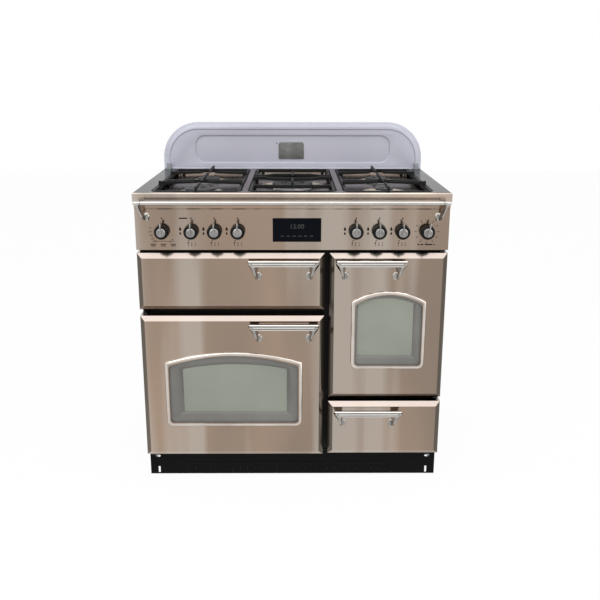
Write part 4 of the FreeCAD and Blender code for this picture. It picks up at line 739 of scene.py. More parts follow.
BRASS = Finish(
    "brass", "brass", (206, 174, 108), (184, 150, 88), metallic=1.0, roughness=0.34,
    grain_scale=420.0, grain_gloss=0.15, patch=40.0, tints=(worn((232, 208, 150), 0.4),),
)
PIPE_ALLOY = Finish(
    "pipe_alloy", "pipe_alloy", (190, 191, 194), (165, 167, 171), metallic=1.0, roughness=0.4,
    grain_scale=300.0, grain_gloss=0.15, patch=30.0,
)
OVEN_ENAMEL = Finish(
    "oven_enamel", "oven_enamel", (92, 94, 94), (74, 76, 78), roughness=0.28, coat=0.4,
    grain_scale=500.0, relief=0.00003, tints=(Tint(Effect.FLECKS, (150, 152, 156), 0.10, 420.0),),
)
WOVEN_SEAL = Finish(
    "woven_seal", "seal", (132, 131, 126), (102, 101, 97), roughness=0.86, grain_scale=1300.0,
    grain_gloss=0.05, relief=0.0003, patch=50.0, tints=(Tint(Effect.FLECKS, (70, 70, 68), 0.2, 900.0),),
)
ELEMENT_STEEL = Finish(
    "element_steel", "element_steel", (112, 108, 104), (82, 78, 78), metallic=1.0, roughness=0.48,
    grain_scale=300.0, grain_gloss=0.1, patch=22.0, tints=(worn((140, 130, 120), 0.3),),
)
OVEN_GLASS = Finish(
    "oven_glass", "glass", (170, 174, 160), (160, 165, 153), roughness=0.1, shine=0.3, alpha=0.6,
    grain_scale=400.0, grain_gloss=0.02, smudge=0.05,
)
GLASS_BORDER = Finish(
    "glass_border", "glass", (122, 121, 116), (110, 109, 105), roughness=0.14, shine=0.3,
    grain_scale=500.0, grain_gloss=0.03,
)
PRINTED_INK = Finish(
    "printed_ink", "black_plastic", (34, 20, 16), (24, 15, 12), roughness=0.5, shine=0.1, grain_scale=2000.0
)
DISPLAY_INK = Finish(
    "display_ink", "display_glass", (76, 79, 76), (60, 63, 62), roughness=0.4, shine=0.1, grain_scale=2000.0
)


# ------------------------------------------------------------------ the paint shop
class Wiring:
    """A node tree with short ways to add nodes and to join them."""

    def __init__(self, tree: bpy.types.NodeTree) -> None:
        """Takes a node tree to work on."""
        self.tree = tree

    def node(self, kind: str, **settings: object) -> bpy.types.Node:
        """Adds a node.

        Args:
            kind: The node's type.
            settings: Its settings by name.

        Returns:
            The node.
        """
        node = self.tree.nodes.new(kind)
        for key, value in settings.items():
            setattr(node, key, value)
        return node

    def feed(self, node: bpy.types.Node, **inputs: object) -> bpy.types.Node:
        """Sets a node's inputs, named with _ for a space or by i and a number.

        Args:
            node: The node to feed.
            inputs: A number, a colour or an output socket for each input.

        Returns:
            The same node.
        """
        for key, source in inputs.items():
            name = key.replace("_", " ")
            socket = node.inputs[int(name[1:])] if name[1:].isdigit() else node.inputs[name]
            if isinstance(source, Socket):
                self.tree.links.new(source, socket)
            elif socket.type == "RGBA":
                socket.default_value = (*source, 1.0)
            else:
                socket.default_value = source
        return node

    def maths(self, operation: str, first: object, second: object = 0.0) -> Socket:
        """Adds a sum of two values."""
        return self.feed(self.node("ShaderNodeMath", operation=operation), i0=first, i1=second).outputs[0]

    def ramp(self, value: Socket, low: float, high: float) -> Socket:
        """Spreads the values between low and high over 0 to 1."""
        return self.feed(self.node("ShaderNodeMapRange"), Value=value, From_Min=low, From_Max=high).outputs[0]

    def blend(self, share: object, first: object, second: object) -> Socket:
        """Mixes two colours."""
        return self.feed(self.node("ShaderNodeMix", data_type="RGBA"), i0=share, i6=first, i7=second).outputs[2]

    def axis(self, vector: Socket, number: int) -> Socket:
        """Gives one axis of a vector."""
        return self.feed(self.node("ShaderNodeSeparateXYZ"), Vector=vector).outputs[number]


class EffectGroup(Wiring):
    """A shader node group, whose sockets take their kinds from their names."""

    KINDS = {name: "Vector" for name in ("Place", "Facing", "Stretch")} | {
        name: "Color" for name in ("Base", "Shade", "Colour")
    }

    def __init__(self, name: str, inputs: Sequence[str], output: str = "Mask") -> None:
        """Makes an empty group.

        Args:
            name: The group's name.
            inputs: Its input sockets' names.
            output: Its output socket's name.
        """
        super().__init__(bpy.data.node_groups.new(name, "ShaderNodeTree"))
        for socket, way in (*((given, "INPUT") for given in inputs), (output, "OUTPUT")):
            kind = self.KINDS.get(socket, "Float")
            self.tree.interface.new_socket(name=socket, in_out=way, socket_type=f"NodeSocket{kind}")
        self.given = self.node("NodeGroupInput").outputs
        self.result = self.node("NodeGroupOutput")

    def noise(self, scale: object, stretch: object, **settings: float) -> Socket:
        """Adds noise over the group's place.

        Args:
            scale: The noise's scale.
            stretch: How much finer it is along X, Y and Z.
            settings: The noise's other inputs.

        Returns:
            The noise.
        """
        drawn = self.feed(
            self.node("ShaderNodeVectorMath", operation="MULTIPLY"), i0=self.given["Place"], i1=stretch
        )
        return self.feed(
            self.node("ShaderNodeTexNoise"), Vector=drawn.outputs[0], Scale=scale, **settings
        ).outputs[0]

    def give(self, value: Socket) -> EffectGroup:
        """Puts a value out."""
        self.feed(self.result, i0=value)
        return self

    def give_share(self, *masks: Socket) -> EffectGroup:
        """Puts out the product of masks and the amount.

        Args:
            masks: The masks.

        Returns:
            The effect.
        """
        product = self.given["Amount"]
        for mask in masks:
            product = self.maths("MULTIPLY", mask, product)
        return self.give(product)


class PaintShop:
    """Builds the shared effects once and mixes every material from them."""

    EVEN = (1.0, 1.0, 1.0)

    def __init__(self) -> None:
        """Builds the effect groups."""
        makers = (
            self._grain, self._patches, self._bands, self._folds, self._crests, self._margins, self._edge_wear,
            self._smudges, self._flecks,
        )
        self.effects = {group.tree.name: group.tree for group in (maker() for maker in makers)}
        self.materials: dict[str, bpy.types.Material] = {}

    @staticmethod
    def _grain() -> EffectGroup:
        """Fine noise drawn out along the brushing direction.

        Returns:
            The effect.
        """
        group = EffectGroup("Grain", ("Place", "Stretch", "Scale"), "Grain")
        noise = group.noise(group.given["Scale"], group.given["Stretch"], Detail=3.0, Roughness=0.6)
        return group.give(group.ramp(noise, 0.25, 0.75))

    @staticmethod
    def _patches() -> EffectGroup:
        """Soft patches between two colours.

        Returns:
            The effect.
        """
        group = EffectGroup("SoftPatches", ("Place", "Stretch", "Scale", "Base", "Shade"), "Colour")
        noise = group.noise(group.given["Scale"], group.given["Stretch"], Detail=2.0, Distortion=0.4)
        return group.give(group.blend(group.ramp(noise, 0.3, 0.7), group.given["Base"], group.given["Shade"]))

    @staticmethod
    def _bands() -> EffectGroup:
        """A mask of soft upright bands, wider than they are sharp, where a lighter painted reflection is laid on."""
        group = EffectGroup("Bands", ("Place", "Amount"))
        return group.give_share(group.ramp(group.noise(9.0, (1.0, 1.0, 0.05), Detail=2.0), 0.5, 0.64))

    @staticmethod
    def _folds() -> EffectGroup:
        """A mask of the faces that look left or right, where darker painted shade is laid on."""
        group = EffectGroup("Folds", ("Facing", "Amount"))
        return group.give_share(group.ramp(group.maths("ABSOLUTE", group.axis(group.given["Facing"], 0)), 0.35, 0.6))

    @staticmethod
    def _crests() -> EffectGroup:
        """A mask of the sloping faces that look up, where a painted highlight is laid on."""
        group = EffectGroup("Crests", ("Facing", "Amount"))
        return group.give_share(group.ramp(group.axis(group.given["Facing"], 2), 0.3, 0.6))

    @staticmethod
    def _margins() -> EffectGroup:
        """A mask of the level faces near the left and right ends, with a soft inner edge, where a dark painted
        reflection is laid on.

        Returns:
            The effect.
        """
        group = EffectGroup("Margins", ("Place", "Facing", "Amount"))
        outer = group.ramp(group.maths("ABSOLUTE", group.axis(group.given["Place"], 0)), 0.37, 0.41)
        return group.give_share(outer, group.ramp(group.axis(group.given["Facing"], 2), 0.6, 0.9))

    def _edge_wear(self) -> EffectGroup:
        """A mask of convex edges, broken up by noise: rubbed wear, and on chrome a painted highlight.

        Returns:
            The effect.
        """
        group = EffectGroup("EdgeWear", ("Place", "Amount", "Detail"))
        edges = group.ramp(group.node("ShaderNodeNewGeometry").outputs["Pointiness"], 0.52, 0.62)
        noise = group.ramp(group.noise(90.0, self.EVEN, Detail=3.0), 0.3, 0.6)
        return group.give_share(edges, group.maths("MAXIMUM", noise, group.given["Detail"]))

    def _smudges(self) -> EffectGroup:
        """A change of roughness where hands and cloths have been."""
        group = EffectGroup("Smudges", ("Place", "Amount"), "Change")
        return group.give_share(group.ramp(group.noise(11.0, self.EVEN, Detail=5.0, Distortion=1.2), 0.45, 0.8))

    @staticmethod
    def _flecks() -> EffectGroup:
        """A mask of small scattered flecks.

        Returns:
            The effect.
        """
        group = EffectGroup("Flecks", ("Place", "Amount", "Detail"))
        given = group.given
        cells = group.feed(group.node("ShaderNodeTexVoronoi"), Vector=given["Place"], Scale=given["Detail"]).outputs
        chosen = group.feed(group.node("ShaderNodeSeparateColor"), Color=cells["Color"]).outputs[0]
        near = group.maths("LESS_THAN", cells["Distance"], 0.35)
        return group.give(group.maths("MULTIPLY", near, group.maths("LESS_THAN", chosen, given["Amount"])))

    def _placed(self, w: Wiring, effect: str, **inputs: object) -> Socket:
        """Places a shared effect in a material and feeds the inputs that it has: numbers, colours or sockets."""
        node = w.node("ShaderNodeGroup", node_tree=self.effects[effect])
        return w.feed(node, **{name: source for name, source in inputs.items() if name in node.inputs}).outputs[0]

    def material(self, finish: Finish) -> bpy.types.Material:
        """Mixes a finish's material, or gives the one mixed before.

        Args:
            finish: The finish to mix.

        Returns:
            Its material.
        """
        if finish.name in self.materials:
            return self.materials[finish.name]
        made = bpy.data.materials.new(finish.name)
        made.use_nodes = True
        w = Wiring(made.node_tree)
        surface = made.node_tree.nodes["Principled BSDF"]
        spot = w.node("ShaderNodeTexCoord").outputs
        place, facing = spot["Object"], spot["Normal"]
        grain = self._placed(w, "Grain", Place=place, Stretch=finish.grain, Scale=finish.grain_scale)
        colour = self._placed(
            w, "SoftPatches", Place=place, Stretch=finish.patch_stretch, Scale=finish.patch,
            Base=linear(finish.base), Shade=linear(finish.shade),
        )
        # the tints include painted light: reflection bands, side shade, top highlights, dark margin reflections and
        # chrome edge highlights
        for tint in finish.tints:
            mask = self._placed(
                w, tint.effect.value, Place=place, Facing=facing, Amount=tint.amount, Detail=tint.detail
            )
            colour = w.blend(mask, colour, linear(tint.colour))
        smudge = self._placed(w, "Smudges", Place=place, Amount=finish.smudge)
        uneven = w.maths("MULTIPLY", w.maths("SUBTRACT", grain, 0.5), finish.grain_gloss)
        w.feed(
            surface, Base_Color=colour, Roughness=w.maths("ADD", w.maths("ADD", uneven, smudge), finish.roughness),
            Metallic=finish.metallic, Coat_Weight=finish.coat, Coat_Roughness=0.08, Alpha=finish.alpha,
            Specular_IOR_Level=finish.shine, Specular_Tint=(finish.low_glare,) * 3,
        )
        if finish.relief:
            bump = w.feed(w.node("ShaderNodeBump"), Height=grain, Distance=finish.relief, Strength=1.0)
            w.feed(surface, Normal=bump.outputs[0])
        self.materials[finish.name] = made
        return made


# ------------------------------------------------------------------ the cooker
class Cooker:
    """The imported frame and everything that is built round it."""

    def __init__(self) -> None:
        """Loads the frame and opens the paint shop."""
        self.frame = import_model()
        self.paint = PaintShop()
        self.added: list[Piece] = []

    def _painted(self, piece: Piece, finish: Finish) -> None:
        """Gives a piece one finish all over."""
        piece.data.materials.clear()
        piece.data.materials.append(self.paint.material(finish))

    def dress(self, finish: Finish, *nodes: str, bevel: float = 0.0004) -> None:
        """Keeps CAD nodes as they are, softens their edges and paints them.

        Args:
            finish: Their finish.
            nodes: The nodes' names.
            bevel: Width of the softened edges, or 0 for none.
        """
        for name in nodes:
            node = self.frame["nodes"][name]
            node.modifiers.new("Weld", "WELD").merge_threshold = 1e-5
            if bevel:
                soft = node.modifiers.new("Bevel", "BEVEL")
                soft.width, soft.segments, soft.limit_method = bevel, 2, "ANGLE"
                soft.angle_limit = math.radians(40)
                soft.harden_normals = True
            self._painted(node, finish)

    def fit(self, piece: Piece, body: str, finish: Finish, replaces: Sequence[str] = ()) -> None:
        """Paints a piece and fixes it to a body of the frame.

        Args:
            piece: The finished piece.
            body: The body that it rides on.
            finish: Its finish.
            replaces: CAD nodes that it stands for.
        """
        self._painted(piece, finish)
        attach(piece, body)
        if replaces:
            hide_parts(*replaces)
        self.added.append(piece)

    @staticmethod
    def span(node: str) -> tuple[Vector, Vector]:
        """Gives a CAD node's lowest and highest corner."""
        low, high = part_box(node)
        return Vector(low), Vector(high)


# ------------------------------------------------------------------ what is built round the frame
@dataclass(frozen=True)
class Knobs:
    """The eight control knobs: a black grip with a metal cap and a pointer fin."""

    grip_radius: float = 0.0205
    grip_length: float = 0.020
    cap_radius: float = 0.0132
    cap_length: float = 0.0035
    bore_radius: float = 0.0046
    bore_depth: float = 0.0155
    fin_width: float = 0.007
    fin_reach: float = 0.030
    fin_tail: float = 0.013
    fin_length: float = 0.009
    rest_turn: float = math.radians(13)

    GAS = (3, 4, 5, 6, 7)
    OVEN = (1, 2, 8)
    TURNED = 8

    def build(self, cooker: Cooker) -> None:
        """Shapes one knob, copies it to every place and fits the copies.

        Args:
            cooker: The cooker to fit them to.
        """
        first = self.axis(1)
        grip, cap = self._grip(first), self._cap(first)
        for number in (*self.OVEN, *self.GAS):
            body = f"{'gas' if number in self.GAS else 'oven'}_knob_{number}"
            by = self.axis(number) - first
            own_grip = copied(grip, f"knob_{number}_grip", by)
            own_cap = copied(cap, f"knob_{number}_cap", by)
            if number == self.TURNED:
                self._turn(own_cap, first + by)
            cooker.fit(own_grip, body, BLACK_PLASTIC, [f"knob_{number}"])
            cooker.fit(own_cap, body, CAP_CHROME)
        for pattern in (grip, cap):
            bpy.data.objects.remove(pattern)

    @staticmethod
    def axis(number: int) -> Vector:
        """Finds where a knob's axis meets its back face; knobs are numbered from the left."""
        low, high = Cooker.span(f"knob_{number}")
        return Vector(((low.x + high.x) / 2, high.y, middle(*Cooker.span("tap_spindle_3")).z))

    def _turn(self, cap: Piece, axis: Vector) -> None:
        """Turns a cap clockwise about its knob's axis to where the knob rests.

        Args:
            cap: The cap.
            axis: Where the knob's axis meets its back face.
        """
        turn = Matrix.Translation(axis) @ Matrix.Rotation(self.rest_turn, 4, "Y") @ Matrix.Translation(-axis)
        take_up(cap)
        cap.matrix_world = turn @ cap.matrix_world
        apply_place()

    def _grip(self, axis: Vector) -> Piece:
        """Turns the grip with its bore and a rounded front edge.

        Args:
            axis: Where the knob's axis meets its back face.

        Returns:
            The grip.
        """
        r, length, bore = self.grip_radius, self.grip_length, self.bore_radius
        profile = [
            (bore, self.bore_depth), (bore, 0.0), (r - 0.002, 0.0), (r, 0.0012), (r, 0.0135), (r - 0.0006, 0.016),
            (r - 0.002, 0.0184), (r - 0.0042, length), (r - 0.0062, length), (r - 0.0068, length - 0.0008),
            (self.cap_radius - 0.001, length - 0.0008),
        ]
        return turned("grip", axis, FRONTWARD, profile, 96).done(smooth=50)

    def _cap(self, axis: Vector) -> Piece:
        """Turns the cap and grows the pointer fin out of it.

        Args:
            axis: Where the knob's axis meets its back face.

        Returns:
            The cap with its fin.
        """
        r, length = self.cap_radius, self.grip_length
        profile = [
            (r, length - 0.002), (r, length + 0.0012), (r - 0.0008, length + 0.0024),
            (r - 0.0022, length + 0.0032), (r - 0.005, length + self.cap_length), (0.002, length + 0.0038),
        ]
        cap = turned("cap", axis, FRONTWARD, profile, 64).done(smooth=50)
        foot, tip = axis.y - length + 0.001, axis.y - length - self.cap_length - self.fin_length
        half, front = self.fin_width / 2, foot - 0.001
        tail, nose = axis.z - self.fin_tail, axis.z + self.fin_reach
        fin = Bench.block("fin", (axis.x - half, tip, tail), (axis.x + half, foot, nose))
        fin.corners(lambda at, _: at.y < front and at.z < axis.z).move((0.0, 0.004, 0.003))
        fin.corners(lambda at, _: at.y < front and at.z > axis.z).move((0.0, 0.0015, -0.0015))
        fin.corners(lambda at, _: at.y < front).scale((0.62, 1.0, 1.0), axis)
        fin.corners(lambda at, _: at.z > axis.z).scale((0.82, 1.0, 1.0), axis)
        low_tip = axis - UPWARD * self.fin_tail
        fin.corners(lambda at, _: (at - low_tip).length < 0.02 and at.z < axis.z).scale((0.7, 1.0, 1.0), axis)
        fin.edges(lambda at, _: at.y < foot - 0.0005).round_edges(0.0012)
        return assembled("knob_cap", [cap, fin.done(smooth=60)])


@dataclass(frozen=True)
class Horns:
    """A pair of cast brackets: ridged arms that sweep up from leaf-shaped feet to wide caps round a bar."""

    drop: float
    cap_width: float
    lean: float
    toe_width: float = 0.011
    toe_height: float = 0.015
    leaf_radius: float = 0.0115
    leaf_share: float = 0.78
    leaf_shift: float = 0.0065

    # share of the reach and of the drop, half width as shares of the toe's and the cap's, half depth as
    # a share of the toe's height, lean in degrees, and width share of the outer ridge
    STEPS = (
        (0.00, 0.00, 0.9, 0.0, 0.46, 0, 1.0), (0.10, 0.02, 0.9, 0.0, 0.46, 8, 0.8),
        (0.28, 0.10, 0.9, 0.0, 0.42, 26, 0.55), (0.46, 0.25, 1.0, 0.0, 0.40, 44, 0.45),
        (0.60, 0.43, 0.0, 0.62, 0.40, 56, 0.36), (0.72, 0.60, 0.0, 0.80, 0.42, 64, 0.30),
        (0.82, 0.76, 0.0, 0.95, 0.46, 72, 0.30), (0.90, 0.90, 0.0, 1.0, 0.48, 82, 0.45),
        (0.95, 1.02, 0.0, 1.0, 0.44, 88, 0.75),
    )

    def pair(self, bar: Vector, half_spacing: float, wall: float) -> list[Piece]:
        """Grows a bracket on either side of a bar's middle, on the face at Y wall, with feet that lean inwards."""
        return [self._grown(bar, bar.x + side * half_spacing, wall, -side) for side in (-1, 1)]

    def _grown(self, bar: Vector, x: float, wall: float, way: int) -> Piece:
        """Grows one bracket.

        Args:
            bar: Middle of the bar; its X isn't used.
            x: The cap's place along the bar.
            wall: Y of the face that it stands on.
            way: 1 for a foot that leans to the right, -1 for one that leans to the left.

        Returns:
            The bracket.
        """
        reach, low, toe = wall - bar.y, bar.z - self.drop, self.toe_width / 2
        sections = [
            Section(
                (x + way * self.lean * (1 - rise), wall - reach * out, low + self.drop * rise),
                (toe * narrow + self.cap_width / 2 * wide, self.toe_height * depth), math.radians(tip), ridge,
            )
            for out, rise, narrow, wide, depth, tip, ridge in self.STEPS
        ]
        arm = edged(limb("horn", FRONTWARD, sections).done(smooth=80), 0.0012, smooth=50)
        foot = Vector((x + way * (self.lean + self.leaf_shift), wall, low + self.leaf_radius * 0.4))
        return assembled("horn", [arm, self._leaf(foot)])

    def _leaf(self, foot: Vector) -> Piece:
        """Turns a domed disc and narrows it to a leaf that is longer below.

        Args:
            foot: Middle of its back.

        Returns:
            The leaf.
        """
        r = self.leaf_radius
        profile = [(r, 0.0), (r, 0.0012), (r * 0.9, 0.0026), (r * 0.62, 0.0040), (r * 0.2, 0.0047)]
        leaf = turned("leaf", foot, FRONTWARD, profile, 32).faces().scale((self.leaf_share, 1.0, 1.0), foot)
        return leaf.corners(lambda at, _: at.z < foot.z).scale((0.86, 1.0, 1.18), foot).done(smooth=40)


@dataclass(frozen=True)
class Handles:
    """The four door and drawer handles: an edge-lined bar on two cast brackets."""

    bar_height: float = 0.018
    bar_depth: float = 0.012
    bar_edge: float = 0.0030
    lip: float = 0.0016
    groove: float = 0.0011
    foot_spacing: float = 0.178
    end_slope: float = 0.013
    horns: Horns = Horns(drop=0.048, cap_width=0.029, lean=0.011)

    BODIES = {
        "grill_door_handle": "grill_door",
        "main_door_handle": "main_oven_door",
        "side_door_handle": "side_oven_door",
        "drawer_handle": "storage_drawer",
    }

    def build(self, cooker: Cooker) -> None:
        """Builds each handle where its CAD node is.

        Args:
            cooker: The cooker to fit them to.
        """
        for node, body in self.BODIES.items():
            low, high = cooker.span(node)
            bar = Vector(((low.x + high.x) / 2, low.y + self.bar_depth / 2, high.z - self.bar_height / 2))
            solids = [self._bar(low.x, high.x, bar), *self.horns.pair(bar, self.foot_spacing / 2, high.y)]
            cooker.fit(assembled(f"{node}_piece", solids), body, CHROME, [node])

    def _bar(self, start: float, stop: float, bar: Vector) -> Piece:
        """Shapes the bar, with a groove along its front edges and ends that slope inwards.

        Args:
            start: X of its left end.
            stop: X of its right end.
            bar: Its middle.

        Returns:
            The bar.
        """
        half = Vector((0.0, self.bar_depth / 2, self.bar_height / 2))
        bench = Bench.block("bar", (start, bar.y - half.y, bar.z - half.z), (stop, bar.y + half.y, bar.z + half.z))
        for side, end in ((1, start), (-1, stop)):
            bench.corners(lambda at, _: abs(at.x - end) < NEAR and at.z < bar.z)
            bench.move((side * self.end_slope, 0.0, 0.0))
        bench.edges(lambda _, way: abs(way.x) > 0.9).round_edges(self.bar_edge, 4)
        bench.faces(lambda _, way: way.y < -SQUARE_ON).inset(self.lip)
        bench.inset(self.groove / 2, -self.groove).inset(self.groove).inset(self.groove / 2, self.groove * 1.3)
        return bench.done(smooth=40)


@dataclass(frozen=True)
class TowelRail:
    """The long round rail across the front, with ringed ends, on a cast bracket near each end."""

    radius: float = 0.0055
    above_panel: float = 0.002
    foot_inset: float = 0.009
    horns: Horns = Horns(drop=0.050, cap_width=0.0175, lean=0.013)

    # half of the ringed rail: share of the radius and distance from the end
    END = ((0.55, 0.0), (0.9, 0.0008), (1.0, 0.0022), (1.0, 0.0190), (0.86, 0.0196), (0.86, 0.0204), (1.0, 0.021))

    def build(self, cooker: Cooker) -> None:
        """Turns the rail with stepped ends and grows its brackets.

        Args:
            cooker: The cooker to fit it to.
        """
        low, high = cooker.span("towel_rail")
        length, z = high.x - low.x, cooker.span("control_panel")[1].z + self.above_panel
        line = Vector((0.0, low.y + self.radius, z))
        near = [(self.radius * share, along) for share, along in self.END]
        far = [(radius, length - along) for radius, along in reversed(near)]
        rail = turned("rail", (low.x, line.y, line.z), RIGHTWARD, near + far, 32).done(smooth=50)
        horns = self.horns.pair(line, length / 2 - self.foot_inset, high.y)
        cooker.fit(assembled("towel_rail_piece", [rail, *horns]), "cooker", CHROME, ["towel_rail"])


@dataclass(frozen=True)
class Burner:
    """One gas burner's place and size."""

    x: float
    y: float
    radius: float
    inner: float = 0.0


@dataclass(frozen=True)
class Burners:
    """The five burners: a slotted alloy crown and an enamelled cap each, the wok one with two rings."""

    floor: float = 0.876
    crown_top: float = 0.888
    cap_top: float = 0.893
    cap_inset: float = 0.001
    skirt: float = 0.004
    ports: int = 36
    small: float = 0.030
    small_ports: int = 24
    port_depth: float = 0.0025
    groove: float = 0.012
    all: tuple[Burner, ...] = (
        Burner(-0.274, -0.120, 0.049), Burner(-0.274, 0.120, 0.037), Burner(0.274, -0.120, 0.028),
        Burner(0.274, 0.120, 0.037), Burner(0.0, 0.0, 0.064, 0.023),
    )

    def build(self, cooker: Cooker) -> None:
        """Builds every crown and cap.

        Args:
            cooker: The cooker to fit them to.
        """
        crowns, caps = [], []
        for burner in self.all:
            centre = Vector((burner.x, burner.y, 0.0))
            if burner.inner:
                hole = burner.inner + self.groove
                crowns += [self._crown(centre, burner.radius, hole), self._crown(centre, burner.inner)]
                caps += [self._ring_cap(centre, burner.radius, hole), self._cap(centre, burner.inner)]
            else:
                crowns.append(self._crown(centre, burner.radius))
                caps.append(self._cap(centre, burner.radius))
        cooker.fit(assembled("burner_crowns", crowns), "cooker", BURNER_ALLOY, ["burner_bodies"])
        cooker.fit(assembled("burner_cap_discs", caps), "cooker", BURNER_ENAMEL, ["burner_caps"])

    def _crown(self, centre: Vector, radius: float, hole: float = 0.0) -> Piece:
        """Turns a crown on a flared skirt and sinks a flame port into each face of its wall.

        Args:
            centre: Its axis.
            radius: Its wall's radius.
            hole: Radius of the hole in a ring, or 0.

        Returns:
            The crown.
        """
        top, low = self.crown_top, self.floor
        inner = hole if hole else radius * 0.35
        profile = [
            (inner, low), (radius + self.skirt, low), (radius + self.skirt, low + 0.0022),
            (radius + 0.0012, low + 0.0036), (radius, low + 0.0048), (radius, top - 0.0012),
            (radius - 0.0008, top), (inner, top),
        ]
        crown = turned("crown", centre, UPWARD, profile, self.ports if radius > self.small else self.small_ports)
        if hole:
            crown.bore(centre, inner, 4e-4)
        crown.faces(
            lambda at, way: abs(way.z) < 0.1 and low + 0.005 < at.z < top - 0.001
            and (at - centre).xy.length > radius * 0.97
        )
        bpy.ops.mesh.inset(thickness=radius * 0.022, depth=-self.port_depth, use_individual=True)
        return crown.done(smooth=30)

    def _cap(self, centre: Vector, radius: float) -> Piece:
        """Turns a softly domed cap.

        Args:
            centre: Its axis.
            radius: The crown's radius.

        Returns:
            The cap.
        """
        r, low, top = radius - self.cap_inset, self.crown_top, self.cap_top
        profile = [
            (r * 0.4, low), (r - 0.0008, low), (r, low + 0.0009), (r, low + 0.0026), (r - 0.0007, low + 0.0038),
            (r - 0.0022, low + 0.0045), (r * 0.75, top), (r * 0.3, top + 0.0002),
        ]
        return turned("cap", centre, UPWARD, profile, 64).done(smooth=50)

    def _ring_cap(self, centre: Vector, radius: float, hole: float) -> Piece:
        """Turns the wok burner's ring-shaped cap.

        Args:
            centre: Its axis.
            radius: The ring crown's radius.
            hole: Radius of the ring crown's hole.

        Returns:
            The cap.
        """
        r, h, low, top = radius - self.cap_inset, hole + self.cap_inset, self.crown_top, self.cap_top
        profile = [
            (h, low), (r - 0.0008, low), (r, low + 0.0009), (r, low + 0.0030), (r - 0.0010, low + 0.0043),
            (r - 0.003, top), (h + 0.003, top), (h + 0.001, low + 0.0043), (h, low + 0.003),
        ]
        return turned("ring_cap", centre, UPWARD, profile, 64).bore(centre, h, 6e-4).done(smooth=50)


